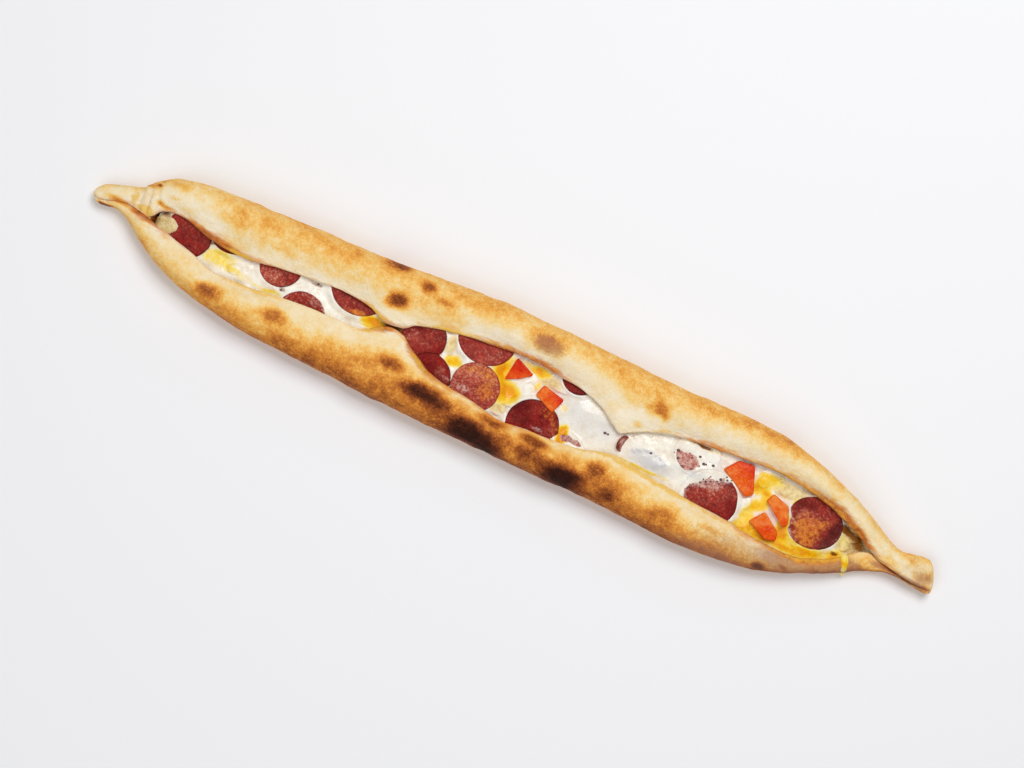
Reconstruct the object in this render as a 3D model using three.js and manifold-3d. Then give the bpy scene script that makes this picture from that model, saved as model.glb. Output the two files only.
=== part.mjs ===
// Sucuk pide: a long boat of baked dough, its two sides folded over a filling of melted cheese and egg,
// with sucuk slices and pieces of tomato that show through three openings between the folds.
// Millimetres. X runs along the pide, +Y is towards the wider fold, +Z is up, and the flat bottom is at z = 0.
import * as THREE from "three";
import { mergeVertices } from "three/addons/utils/BufferGeometryUtils.js";
import Module from "manifold-3d";

const wasm = await Module();
wasm.setup();

// Ends of the dough, and how far from each the section closes to a point
const LEFT_TIP = -264.5;
const RIGHT_TIP = 264;
const LEFT_ROUNDING = 6;
const RIGHT_ROUNDING = 4;
const LEFT_TIP_CENTRE = [0.4, 7];
const RIGHT_TIP_CENTRE = [-0.8, 6.5];
// The right tip is cut aslant: it reaches further on the -Y side
const SLANT = 0.36;
const SLANT_FROM = 244;

// Dough thicknesses, which shrink with the section towards the tips
const WALL = 6.4;
const FLAP = 5.4;
const FLOOR = 5;
const LIP = 4.4;
const TAIL_LIP = 2.4;
const SIDE_HEIGHT_SHARE = 0.42;
const MOST_FOOT = 9;
const MOST_CREST_INSET = 13;

// The hollow under the folds opens and closes over these stretches of X
const HOLLOW_OPENS = [-228.5, -225];
const HOLLOW_CLOSES = [214, 233];

// Pleats pinched across the dough at the left end of the openings
const PLEATS_FROM = -240;
const PLEATS_TO = -226;
const PLEATS = 3;
const PLEAT_HEIGHT = 0.9;
const PLEAT_REACH = 16;

// Pieces that touch keep this gap, and flat stretches are joined into fewer, larger faces within this limit
const GAP = 0.45;
const FLATTEN = 0.13;

const SLICE_THICKNESS = 2.4;
const SLICE_CUP = 0.7;
const SLICE_SIDES = 17;
const TOMATO_BEVEL = 0.7;

const DOUGH = new THREE.MeshStandardMaterial({ color: 0xe0b578, roughness: 0.75, metalness: 0 });
const CHEESE_AND_EGG = new THREE.MeshStandardMaterial({ color: 0xf0e2b0, roughness: 0.35, metalness: 0 });
const SUCUK = new THREE.MeshStandardMaterial({ color: 0x8a2f22, roughness: 0.4, metalness: 0 });
const TOMATO = new THREE.MeshStandardMaterial({ color: 0xdf4a22, roughness: 0.35, metalness: 0 });

// A smooth curve through [place, value] knots, its slope at a knot taken from the two beside it.
function curve(...knots) {
  const last = knots.length - 1;
  const slope = (i) => {
    const before = knots[Math.max(i - 1, 0)];
    const after = knots[Math.min(i + 1, last)];
    return (after[1] - before[1]) / (after[0] - before[0]);
  };
  return (x) => {
    if (x <= knots[0][0]) return knots[0][1];
    if (x >= knots[last][0]) return knots[last][1];
    const i = knots.findIndex((knot) => knot[0] > x) - 1;
    const span = knots[i + 1][0] - knots[i][0];
    const t = (x - knots[i][0]) / span;
    const turn = t * t * (3 - 2 * t);
    return (
      knots[i][1] * (1 - turn) +
      knots[i + 1][1] * turn +
      span * (slope(i) * t * (1 - t) ** 2 - slope(i + 1) * t * t * (1 - t))
    );
  };
}

const mix = THREE.MathUtils.lerp;
const ease = (x, from, to) => THREE.MathUtils.smoothstep(x, from, to);
const radians = THREE.MathUtils.degToRad;

// Each fold: its outer edge seen from above, the edge of its lip, the height of its crest and of its lip.
// Distances across are measured towards the fold's own side.
const UPPER = {
  side: 1,
  edge: curve(
    [-264, 5.4], [-250, 11], [-238, 15], [-233, 20.5], [-222, 27], [-200, 31.2], [-150, 33.4],
    [-90, 36], [-25, 40.6], [80, 38.8], [130, 39.3], [160, 36.7], [205, 23], [228, 11.2], [240, 6.9], [257, 9],
  ),
  lip: curve(
    [-262, -2.8], [-256, -1.4], [-250, 0.5], [-243, 1.9], [-237, 1.3], [-232, 0.5], [-229, 0], [-227, 0.9],
    [-225.5, 2.9], [-224, 5], [-221.5, 6.5], [-214, 8.1], [-207, 7.8], [-192, 2.9], [-169, 0.6],
    [-150, 4.1], [-108, 7.3], [-92, 5.1], [-87, 3.2], [-84, 1.9], [-80, 1.5], [-75, 1.9], [-71, 2.6],
    [-68.5, 3.8], [-66, 6], [-62, 7.6], [-55, 9.7], [-50, 10.8], [-20, 15.7], [5, 16.6], [28, 14.8],
    [45, 11.2], [54, 7.4], [61, 2.8], [65.5, 0], [70, 1.9], [78, 6], [90, 11], [112, 14], [140, 16.6],
    [160, 17.2], [185, 13.9], [195, 11.2], [205, 7.4], [212, 4.6], [220, 0.6], [228, -2.3], [234, -4.2],
    [250, -7.4],
  ),
  crest: curve(
    [-264, 9], [-250, 12.5], [-238, 14.5], [-228, 18.5], [-210, 22], [-160, 23.6], [0, 24.6], [110, 24.2],
    [160, 23], [200, 19.5], [230, 13.8], [242, 12], [262, 10],
  ),
  lipHeight: curve(
    [-264, 8], [-240, 12], [-215, 16], [-150, 17.4], [-78, 18.4], [60, 18.2], [150, 17.6], [190, 16],
    [210, 14], [225, 12], [240, 10.2], [262, 9],
  ),
};
const LOWER = {
  side: -1,
  edge: curve(
    [-264, 5.2], [-257, 5], [-249, 3.9], [-241, 6.5], [-230, 14], [-215, 22.7], [-195, 29.8], [-160, 36],
    [-110, 39.3], [-30, 41.8], [60, 42], [115, 43.8], [150, 41.8], [175, 36.5], [200, 26.5], [230, 11.3],
    [240, 8.5], [257, 10.3],
  ),
  lip: curve(
    [-262, 3], [-256, 1.6], [-250, -0.3], [-243, -1.6], [-237, -1], [-232, 0.1], [-228.5, 0.7], [-226, 1.5],
    [-221, 2.8], [-210, 5.6], [-196, 8.8], [-184, 12.6], [-166, 12.6], [-140, 9.7], [-110, 8], [-94, 7],
    [-89, 5.2], [-84, 2], [-80, 0.2], [-76.5, -0.6], [-72.5, -0.3], [-69, 0.4], [-66, 2.2], [-63, 4.7],
    [-60, 6.5], [-55, 9.3], [-45, 14], [-20, 18.2], [4, 20.8], [50, 16.8], [66, 12.5], [78, 13.4],
    [110, 17.1], [140, 19.6], [165, 22], [186, 21.4], [196, 18.2], [205, 14.2], [209, 11.6], [212, 8.8],
    [216, 5.6], [220, 3.4], [225, 2.5], [229, 3.9], [234, 5.2], [250, 8.2],
  ),
  crest: curve(
    [-264, 8], [-250, 11], [-238, 13.5], [-225, 17], [-205, 21], [-160, 23.4], [-30, 24.6], [110, 24],
    [160, 21.8], [185, 18], [205, 14.6], [230, 10.8], [245, 9.8], [262, 9.5],
  ),
  lipHeight: curve(
    [-264, 7.5], [-240, 11.6], [-215, 15.8], [-150, 17.2], [-78, 18], [60, 17.8], [150, 16.8], [180, 14.8],
    [205, 12.2], [225, 9], [240, 8], [262, 8.4],
  ),
};
// How far the underside lifts off the table towards the tips
const LIFT = curve([-264, 3], [-246, 2], [-228, 0], [228, 0], [246, 1.5], [264, 2.5]);
const lift = (x) => Math.max(0, LIFT(x));

// Baked dough is never even: slow swells along each fold.
const swell = (x, side) => 0.5 * Math.sin(x / 15 + side) + 0.35 * Math.sin(x / 6.3 - 2 * side);

// The height that the pleats add at x, at a distance y across towards the +Y side.
function pleat(x, y) {
  const along = ease(x, PLEATS_FROM, PLEATS_FROM + 3) * (1 - ease(x, PLEATS_TO, PLEATS_TO + 3));
  const across = ease(y, -1, 3) * (1 - ease(y, PLEAT_REACH - 5, PLEAT_REACH));
  const wave = Math.sin((2 * Math.PI * PLEATS * (x - PLEATS_FROM)) / (PLEATS_TO - PLEATS_FROM));
  return PLEAT_HEIGHT * wave * along * across;
}

const hollowness = (x) => ease(x, ...HOLLOW_OPENS) * (1 - ease(x, ...HOLLOW_CLOSES));

// One fold's half of the section at x: `outer` runs from under the dough round to the tip of the lip,
// and `inner` back along the fold's underside and the hollow's wall to the floor.
// `grow` thickens the dough towards the hollow.
function half(fold, x, grow) {
  const low = lift(x);
  const edge = fold.edge(x);
  const lip = fold.lip(x);
  const size = ease(fold.crest(x), 10, 22);
  const crest = fold.crest(x) + swell(x, fold.side) * size;
  const wide = edge - lip;
  const thick = Math.min(mix(TAIL_LIP, LIP, size), 0.7 * wide);
  const foot = Math.min(MOST_FOOT, 0.38 * wide);
  const inset = Math.min(MOST_CREST_INSET, 0.5 * wide);
  const side = mix(low, crest, SIDE_HEIGHT_SHARE);
  const lipHeight = fold.lipHeight(x);
  const lipTop = lipHeight + thick / 2;

  const outer = [];
  for (const angle of [-90, -52, -22].map(radians))
    outer.push([edge - foot + foot * Math.cos(angle), side + (side - low) * Math.sin(angle)]);
  for (const angle of [0, 26, 50, 70, 90].map(radians))
    outer.push([edge - inset + inset * Math.cos(angle) ** 0.9, side + (crest - side) * Math.sin(angle)]);
  for (const share of [0.35, 0.7])
    outer.push([mix(edge - inset, lip + thick / 2, share), mix(lipTop, crest, Math.cos((share * Math.PI) / 2))]);
  const round = thick / 2 + grow;
  for (const angle of [90, 35, -35].map(radians))
    outer.push([lip + thick / 2 - round * Math.cos(angle), lipHeight + round * Math.sin(angle)]);
  for (const point of outer.slice(7)) point[1] += pleat(x, fold.side * point[0]);

  const floor = low + Math.min(FLOOR, 0.2 * (crest - low));
  const roof = crest - Math.min(FLAP, 0.24 * (crest - low));
  const near = lip + thick / 2;
  const far = edge - Math.min(WALL, 0.42 * wide);
  const under = lipHeight - thick / 2;
  // Each point of the hollow's outline, and the way it moves as the dough grows
  const inner = [
    [near, under, 0, -1],
    [mix(near, far, 0.4), mix(under, roof, 0.75), 0, -1],
    [mix(near, far, 0.78), roof, -0.3, -1],
    [mix(near, far, 0.97), mix(side, roof, 0.6), -1, -0.5],
    [far, side, -1, 0],
    [mix(near, far, 0.9), mix(floor, side, 0.25), -0.8, 0.8],
    [mix(near, far, 0.6), floor, 0, 1],
  ];
  // Where there is no hollow, its outline shrinks to the foot of the lip
  const open = hollowness(x);
  const hollow = inner.map(([y, z, dy, dz]) => [mix(lip, y, open) + grow * dy, mix(under, z, open) + grow * dz]);
  const turned = (points) => points.map(([y, z]) => [fold.side * y, z]);
  const bottom = mix(under, floor, open) + grow;
  return { outer: turned(outer), inner: turned(hollow), low, bottom, lip: fold.side * lip };
}

// The dough's closed section at x, as [y, z] points. Past the hollow, only a groove is left between the lips.
function section(x, grow = 0) {
  const upper = half(UPPER, x, grow);
  const lower = half(LOWER, x, grow);
  const middle = (UPPER.edge(x) - LOWER.edge(x)) / 2;
  const deepest = [
    mix((upper.lip + lower.lip) / 2, middle, hollowness(x)),
    (upper.bottom + lower.bottom) / 2,
  ];
  const outside = [[middle, upper.low], ...upper.outer];
  return [...outside, ...upper.inner, deepest, ...lower.inner.reverse(), ...lower.outer.reverse()];
}

// Turns closed loops of 3-D points into one closed skin. A loop whose points all meet closes an end.
function skin(loops) {
  const around = loops[0].length;
  const faces = [];
  for (let i = 0; i + 1 < loops.length; i++)
    for (let j = 0; j < around; j++) {
      const a = i * around + j;
      const b = i * around + ((j + 1) % around);
      faces.push(a, b, b + around, a, b + around, a + around);
    }
  const geometry = new THREE.BufferGeometry();
  geometry.setAttribute("position", new THREE.Float32BufferAttribute(loops.flat(2), 3));
  geometry.setIndex(faces);
  return geometry;
}

// A solid for cutting and joining, from a closed geometry: shared points are merged, and faces that
// collapsed with them are dropped.
function solid(geometry) {
  const bare = geometry.clone();
  bare.deleteAttribute("normal");
  bare.deleteAttribute("uv");
  const merged = mergeVertices(bare, 1e-3);
  const old = merged.index.array;
  const kept = [];
  for (let i = 0; i < old.length; i += 3) {
    const [a, b, c] = old.slice(i, i + 3);
    if (a !== b && b !== c && c !== a) kept.push(a, b, c);
  }
  const vertProperties = new Float32Array(merged.attributes.position.array);
  return new wasm.Manifold(new wasm.Mesh({ numProp: 3, vertProperties, triVerts: new Uint32Array(kept) }));
}

// The largest body of a solid: scraps that a cut leaves are dropped.
function largest(made) {
  return made.decompose().sort((a, b) => b.volume() - a.volume())[0];
}

function mesh(name, made, material) {
  const { numProp, vertProperties, triVerts } = made.getMesh();
  const points = [];
  for (let i = 0; i < vertProperties.length; i += numProp) points.push(...vertProperties.slice(i, i + 3));
  const geometry = new THREE.BufferGeometry();
  geometry.setAttribute("position", new THREE.Float32BufferAttribute(points, 3));
  geometry.setIndex(new THREE.Uint32BufferAttribute(triVerts, 1));
  geometry.computeVertexNormals();
  const piece = new THREE.Mesh(geometry, material);
  piece.name = name;
  return piece;
}

function evenly(from, to, steps) {
  return Array.from({ length: steps }, (_, i) => mix(from, to, i / steps));
}

// Places along X: close together at the tips and over the pleats, wider apart along the body.
const STATIONS = [
  ...evenly(0, 1, 5).map((share) => LEFT_TIP + LEFT_ROUNDING * (1 - Math.cos((share * Math.PI) / 2))),
  ...evenly(LEFT_TIP + LEFT_ROUNDING, PLEATS_FROM, 4),
  ...evenly(PLEATS_FROM, PLEATS_TO, 4 * PLEATS),
  ...evenly(PLEATS_TO, -196, 6),
  ...evenly(-196, -92, 10),
  ...evenly(-92, -60, 6),
  ...evenly(-60, 50, 11),
  ...evenly(50, 82, 6),
  ...evenly(82, 196, 11),
  ...evenly(196, RIGHT_TIP - RIGHT_ROUNDING, 11),
  ...evenly(0, 1, 4).map((share) => RIGHT_TIP - RIGHT_ROUNDING * (1 - Math.sin((share * Math.PI) / 2))),
  RIGHT_TIP,
];

// How far the section has opened out from the tip, from 0 to 1, as a quarter round.
function fullness(x) {
  const short = Math.min((x - LEFT_TIP) / LEFT_ROUNDING, (RIGHT_TIP - x) / RIGHT_ROUNDING, 1);
  return Math.sqrt(Math.max(0, 1 - (1 - short) ** 2));
}

function doughLoop(x, grow) {
  const [tipY, tipZ] = x < 0 ? LEFT_TIP_CENTRE : RIGHT_TIP_CENTRE;
  const full = fullness(x);
  const slant = SLANT * ease(x, SLANT_FROM, RIGHT_TIP);
  return section(x, grow).map(([y, z]) => {
    const across = mix(tipY, y, full);
    return [x - slant * across, across, mix(tipZ, z, full)];
  });
}

function dough(grow) {
  return solid(skin(STATIONS.map((x) => doughLoop(x, grow))));
}

// Mounds and dips of the filling's face: [x, y, half length, half width, height]
const MOUNDS = [
  [-217.5, 1, 8, 6, 1.3],
  [-170, -7, 14, 6, 0.7],
  [-122, 2, 12, 4, 0.8],
  [-39, 7, 5, 7, 0.9],
  [-1, -13, 7, 5, 1.2],
  [8, 3, 8, 7, 0.8],
  [45, 1, 17, 12, 2.4],
  [92, -6, 16, 7, 1.6],
  [120, 9, 22, 6, 0.9],
  [156, 6, 9, 8, -0.7],
  [156, -11, 8, 8, -0.5],
  [213, -4, 9, 5, 0.8],
];
const FILL_UNDER_LIP = 0.8;

function fillTop(x, y) {
  const lipHeight = Math.min(UPPER.lipHeight(x), LOWER.lipHeight(x));
  let top = lipHeight - LIP / 2 - FILL_UNDER_LIP;
  for (const [mx, my, long, wide, high] of MOUNDS)
    top += high * Math.exp(-(((x - mx) / long) ** 2) - ((y - my) / wide) ** 2);
  return top + 0.22 * Math.sin(x / 3.1 + y / 5) + 0.18 * Math.sin(y / 2.3 - x / 7);
}

// The filling before it is cut to the hollow: under the folds and at the floor it runs through the middle
// of the dough, and in the openings its top is the face that shows.
const FILLING_ENDS = [-222.5, 224];
const FILLING_STEPS = 56;
const FACE_COLUMNS = 8;
const UNDER_LIP_EDGE = 1.4;
function rawFilling() {
  const loops = [];
  for (let i = 0; i <= FILLING_STEPS; i++) {
    const x = mix(...FILLING_ENDS, i / FILLING_STEPS);
    // Points of the outer half paired with those of the inner half that face them across the dough
    const core = (fold) => {
      const { outer, inner } = half(fold, x, 0);
      const pairs = [[1, 6], [3, 4], [5, 3], [7, 2], [9, 1]];
      return pairs.map(([k, back]) => [0, 1].map((axis) => (outer[k][axis] + inner[back][axis]) / 2));
    };
    const from = UPPER.lip(x) + UNDER_LIP_EDGE;
    const to = -LOWER.lip(x) - UNDER_LIP_EDGE;
    const face = Array.from({ length: FACE_COLUMNS }, (_, j) => {
      const y = mix(from, to, j / (FACE_COLUMNS - 1));
      return [y, fillTop(x, y)];
    });
    const middle = [(UPPER.edge(x) - LOWER.edge(x)) / 2, lift(x) + FLOOR / 2];
    const loop = [middle, ...core(UPPER), ...face, ...core(LOWER).reverse()];
    loops.push(loop.map(([y, z]) => [x, y, z]));
  }
  const ends = [loops[0], loops.at(-1)].map((loop) => {
    const centre = loop.reduce((sum, p) => sum.map((v, k) => v + p[k] / loop.length), [0, 0, 0]);
    return loop.map(() => centre);
  });
  return solid(skin([ends[0], ...loops, ends[1]]));
}

// Sucuk slices, as cut on the slant: centre, size along X and Y, the tilt about X and about Y in degrees
// (a positive tilt about X lifts the +Y edge, about Y sinks the +X edge), and the lift over the filling.
// Of two that overlap, the earlier one lies on top.
const SLICES = [
  { at: [-204.5, 0.2], size: [28, 26], tilt: [1, 3], lift: 0.2 },
  { at: [-181, 10.6], size: [25, 22], tilt: [-5, 0], lift: -0.7 },
  { at: [-148.5, 5.8], size: [25, 24], tilt: [-4, -2], lift: -0.3 },
  { at: [-127, -15], size: [29, 27.5], tilt: [4, 2], lift: -0.5 },
  { at: [-101.8, 11.4], size: [33, 27.5], tilt: [-4, 2], lift: -0.4 },
  { at: [-19.8, -10.5], size: [28.8, 28.6], tilt: [5, -2], lift: 1.1 },
  { at: [-24.5, 16.8], size: [34, 29], tilt: [-5, 2], lift: 0.4 },
  { at: [-47.2, -17], size: [28, 29], tilt: [5, 4], lift: 0.5 },
  { at: [-57.6, 2.6], size: [26.4, 26], tilt: [2, -3], lift: 0 },
  { at: [18.7, -17], size: [31.2, 31], tilt: [5, 2], lift: 0.5 },
  { at: [32.5, 19.4], size: [21, 20], tilt: [-4, 0], lift: -0.3 },
  { at: [42, -23], size: [22, 21], tilt: [3, 0], lift: -0.6 },
  { at: [69.6, -4.4], size: [14, 10], tilt: [6, 66], lift: -1.2 },
  { at: [111, 8.2], size: [25, 24.5], tilt: [-2, 2], lift: -0.9 },
  { at: [127.5, -13], size: [32.6, 33], tilt: [3, 1], lift: 0.5 },
  { at: [187.9, 0], size: [33.4, 29.6], tilt: [2, 3], lift: 0.9 },
];

// A slice: a round plate with a soft rim, cupped a little by the oven. `grow` makes it larger all round.
function slice({ at, size, tilt, lift: above }, grow) {
  const thick = SLICE_THICKNESS / 2 + grow;
  const rim = 1 + grow / (size[0] / 2);
  const profile = [
    [0, -thick],
    [rim * 0.95, -thick + SLICE_CUP],
    [rim, SLICE_CUP],
    [rim * 0.96, thick + SLICE_CUP],
    [0, thick],
  ].map(([r, h]) => new THREE.Vector2(r, h));
  const geometry = new THREE.LatheGeometry(profile, SLICE_SIDES).rotateX(Math.PI / 2);
  geometry.scale(size[0] / 2, size[1] / 2, 1);
  geometry.rotateX(radians(tilt[0])).rotateY(radians(tilt[1]));
  geometry.translate(...at, fillTop(...at) + above);
  return solid(geometry);
}

// Pieces of tomato: the corners of the cut seen from above, the thickness, the tilt and the lift.
const TOMATOES = [
  { corners: [[-4.6, 15.2], [-6.6, 0.6], [1.4, 4.4], [8, 9.6]], thick: 4.4, tilt: [4, -4], lift: 0.9 },
  { corners: [[15.4, 7.2], [13.2, 0], [26, -5.8], [29.6, 4]], thick: 4.6, tilt: [-3, 3], lift: 1.9 },
  { corners: [[127.6, 6.4], [145.6, -3.2], [149.6, 0], [143.6, 15.6], [134, 14.6]], thick: 4.2, tilt: [-4, 3], lift: 0.9 },
  { corners: [[157.6, 0.4], [172.8, -10], [174.6, -7], [171, 2.4], [160, 5.8]], thick: 5, tilt: [5, -6], lift: 1.8 },
  { corners: [[153, -14.4], [166, -20.4], [172, -18.6], [171, -13.4], [159.6, -5.6]], thick: 4.4, tilt: [-2, 3], lift: 1.2 },
];

function tomato({ corners, thick, tilt, lift: above }, grow) {
  const middle = [0, 1].map((k) => corners.reduce((sum, p) => sum + p[k], 0) / corners.length);
  const shape = new THREE.Shape(corners.map(([x, y]) => new THREE.Vector2(x - middle[0], y - middle[1])));
  const bevel = TOMATO_BEVEL;
  const geometry = new THREE.ExtrudeGeometry(shape, {
    depth: thick - 2 * bevel + 2 * grow,
    bevelThickness: bevel,
    bevelSize: bevel + grow,
    bevelOffset: -bevel,
    bevelSegments: 1,
  });
  geometry.translate(0, 0, -thick / 2 + bevel - grow);
  geometry.rotateX(radians(tilt[0])).rotateY(radians(tilt[1]));
  geometry.translate(...middle, fillTop(...middle) + above);
  return solid(geometry);
}

const pide = new THREE.Group();
const add = (name, made, material) => pide.add(mesh(name, largest(made).simplify(FLATTEN), material));

// The pieces on top come first, and each one is cut clear of the dough and of those that lie on it.
const numbered = (word, i) => `${word}_${String(i + 1).padStart(2, "0")}`;
let taken = dough(GAP).simplify(FLATTEN / 2);
add("dough", dough(0), DOUGH);
TOMATOES.forEach((piece, i) => add(numbered("tomato", i), tomato(piece, 0).subtract(taken), TOMATO));
for (const piece of TOMATOES) taken = taken.add(tomato(piece, GAP));
SLICES.forEach((piece, i) => {
  add(numbered("sucuk", i), slice(piece, 0).subtract(taken), SUCUK);
  taken = taken.add(slice(piece, GAP));
});
add("cheese_and_egg", rawFilling().subtract(taken), CHEESE_AND_EGG);

// The origin is on the table, under the middle of the outline seen from above.
const centre = new THREE.Box3().setFromObject(pide).getCenter(new THREE.Vector3());
pide.position.set(-centre.x, -centre.y, 0);

export default pide;
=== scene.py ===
"""Sucuk pide: a long boat of baked dough folded over cheese and egg, with sucuk slices and tomato in it.

Shapes are worked out in millimetres on the drawing of the pide, whose x runs along it and whose y runs
across, towards the wider fold. They are moved to the frame and turned to metres only when a mesh is made.
"""
import math

import bmesh
import bpy
import numpy as np
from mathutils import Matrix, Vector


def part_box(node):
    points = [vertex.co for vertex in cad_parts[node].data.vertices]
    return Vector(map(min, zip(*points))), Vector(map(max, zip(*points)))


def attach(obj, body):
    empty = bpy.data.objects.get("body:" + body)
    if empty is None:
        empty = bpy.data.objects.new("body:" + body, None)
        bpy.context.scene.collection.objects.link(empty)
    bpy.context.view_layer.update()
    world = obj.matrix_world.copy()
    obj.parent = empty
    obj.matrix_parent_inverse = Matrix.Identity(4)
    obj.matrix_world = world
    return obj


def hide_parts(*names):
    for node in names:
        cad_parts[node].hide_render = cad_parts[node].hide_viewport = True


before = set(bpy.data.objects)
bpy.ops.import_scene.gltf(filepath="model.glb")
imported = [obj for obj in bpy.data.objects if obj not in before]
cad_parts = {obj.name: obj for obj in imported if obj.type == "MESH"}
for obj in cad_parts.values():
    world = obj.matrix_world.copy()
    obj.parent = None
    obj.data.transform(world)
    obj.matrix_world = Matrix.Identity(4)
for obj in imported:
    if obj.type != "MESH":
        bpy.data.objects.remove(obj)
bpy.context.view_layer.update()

MM = 0.001


# Curves and noise

def curve(*knots):
    """A smooth curve through (place, value) knots: a cubic on each span, whose slope at a knot is that of the
    straight line between the two knots beside it. Outside the knots it keeps the end value."""
    place, value = np.array(knots, float).T
    order = np.arange(len(place))
    before = np.maximum(order - 1, 0)
    after = np.minimum(order + 1, len(place) - 1)
    slope = (value[after] - value[before]) / (place[after] - place[before])

    def at(x):
        x = np.clip(x, place[0], place[-1])
        i = np.clip(np.searchsorted(place, x, side="right") - 1, 0, len(place) - 2)
        span = place[i + 1] - place[i]
        t = (x - place[i]) / span
        turn = t * t * (3 - 2 * t)
        ends = value[i] * (1 - turn) + value[i + 1] * turn
        return ends + span * (slope[i] * t * (1 - t) ** 2 - slope[i + 1] * t * t * (1 - t))

    return at


def mix(a, b, share):
    """From a to b in a straight line."""
    return a + (b - a) * share


def ease(x, start, end):
    """0 before start, 1 past end, and t*t*(3 - 2t) between them."""
    t = np.clip((x - start) / (end - start), 0, 1)
    return t * t * (3 - 2 * t)


# Points of random values along each axis, after which the noise repeats
LATTICE = 24


def noise(x, y, z, size, seed):
    """Smooth noise from -1 to 1 with lumps of the given size in mm: random values at the corners of cubes,
    blended between the eight corners round a point by t*t*(3 - 2t) along each axis."""
    values = np.random.default_rng(seed).uniform(-1, 1, (LATTICE,) * 3)
    places = np.broadcast_arrays(*(np.asarray(axis, float) / size for axis in (x, y, z)))
    cell = [np.floor(place).astype(int) for place in places]
    part = [place - floor for place, floor in zip(places, cell)]
    part = [t * t * (3 - 2 * t) for t in part]
    total = np.zeros(places[0].shape)
    for corner in np.ndindex(2, 2, 2):
        weight = np.ones(total.shape)
        for step, t in zip(corner, part):
            weight = weight * (t if step else 1 - t)
        i, j, k = [(c + step) % LATTICE for c, step in zip(cell, corner)]
        total += weight * values[i, j, k]
    return total


def layered(x, y, z, size, seed, layers=3):
    """Noise with finer noise on it: each layer has half the size and half the height of the one before."""
    return sum(noise(x, y, z, size / 2**k, seed + k) / 2**k for k in range(layers))


def spots(x, y, places, ragged=1.1):
    """The sum of soft ellipses (x, y, half length, half width, strength), each exp(-r**3) of its own radius
    r, in coordinates shifted by noise, so that their outlines are ragged by about that many mm."""
    x, y = np.broadcast_arrays(x, y)
    x = x + ragged * layered(x, y, 0, 9, 71)
    y = y + ragged * layered(x, y, 50, 9, 75)
    total = np.zeros(x.shape)
    for at_x, at_y, long, wide, strength in places:
        radius = ((x - at_x) / long) ** 2 + ((y - at_y) / wide) ** 2
        total += strength * np.exp(-(radius**1.5))
    return total


# The dough's driving dimensions, in mm

LEFT_TIP = -264.5
RIGHT_TIP = 264
LEFT_ROUNDING = 6
RIGHT_ROUNDING = 4
# Places across and up that the sections shrink to at the tips
LEFT_TIP_CENTRE = (0.4, 7)
RIGHT_TIP_CENTRE = (-0.8, 6.5)
# The right tip is cut aslant: the shift along x for each mm across, and the x where it begins
SLANT = 0.36
SLANT_FROM = 244
TIP_STEPS = 11

# Each as its full size, and the most that it takes of the fold's width or height where there is less room
WALL = (6.4, 0.42)
FLAP = (5.4, 0.24)
FLOOR = (5, 0.2)
FOOT = (9, 0.38)
CREST_INSET = (13, 0.5)

# The lips' thickness over the hollow and in the tails, and the most that it takes of the fold's width
LIP = 4.4
TAIL_LIP = 2.4
LIP_SHARE = 0.7
# Crests of these heights have the tails' thin lips and the full ones
LIP_GROWS = (10, 22)
# How far up the side is widest, and how deep the crease between closed lips is
SIDE_HEIGHT_SHARE = 0.42
CREASE_DEPTH = 0.7

# From where to where along x the hollow opens at the left, and closes at the right
HOLLOW_OPENS = (-228.5, -225)
HOLLOW_CLOSES = (214, 233)

PLEATS_FROM = -240
PLEATS_TO = -226
PLEATS = 3
PLEAT_HEIGHT = 0.9
PLEAT_REACH = 16
PLEAT_FADE = 3


class Fold:
    """One side of the dough: its outer edge and its lip's edge seen from above, and how high its crest and
    its lip's middle are, each as a curve along x. Distances across are measured towards its own side."""

    def __init__(self, side, edge, lip, crest, lip_height):
        self.side = side
        self.edge = curve(*edge)
        self.lip = curve(*lip)
        self.crest = curve(*crest)
        self.lip_height = curve(*lip_height)


UPPER = Fold(
    1,
    edge=[(-264, 5.4), (-250, 11), (-238, 15), (-233, 20.5), (-222, 27), (-200, 31.2), (-150, 33.4),
          (-90, 36), (-25, 40.6), (80, 38.8), (130, 39.3), (160, 36.7), (205, 23), (228, 11.2), (240, 6.9),
          (257, 9)],
    lip=[(-262, -2.8), (-256, -1.4), (-250, 0.5), (-243, 1.9), (-237, 1.3), (-232, 0.5), (-229, 0),
         (-227, 0.9), (-225.5, 2.9), (-224, 5), (-221.5, 6.5), (-214, 8.1), (-207, 7.8), (-192, 2.9),
         (-169, 0.6), (-150, 4.1), (-108, 7.3), (-92, 5.1), (-87, 3.2), (-84, 1.9), (-80, 1.5), (-75, 1.9),
         (-71, 2.6), (-68.5, 3.8), (-66, 6), (-62, 7.6), (-55, 9.7), (-50, 10.8), (-20, 15.7), (5, 16.6),
         (28, 14.8), (45, 11.2), (54, 7.4), (61, 2.8), (65.5, 0), (70, 1.9), (78, 6), (90, 11), (112, 14),
         (140, 16.6), (160, 17.2), (185, 13.9), (195, 11.2), (205, 7.4), (212, 4.6), (220, 0.6),
         (228, -2.3), (234, -4.2), (250, -7.4)],
    crest=[(-264, 9), (-250, 12.5), (-238, 14.5), (-228, 18.5), (-210, 22), (-160, 23.6), (0, 24.6),
           (110, 24.2), (160, 23), (200, 19.5), (230, 13.8), (242, 12), (262, 10)],
    lip_height=[(-264, 8), (-240, 12), (-215, 16), (-150, 17.4), (-78, 18.4), (60, 18.2), (150, 17.6),
                (190, 16), (210, 14), (225, 12), (240, 10.2), (262, 9)],
)
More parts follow.
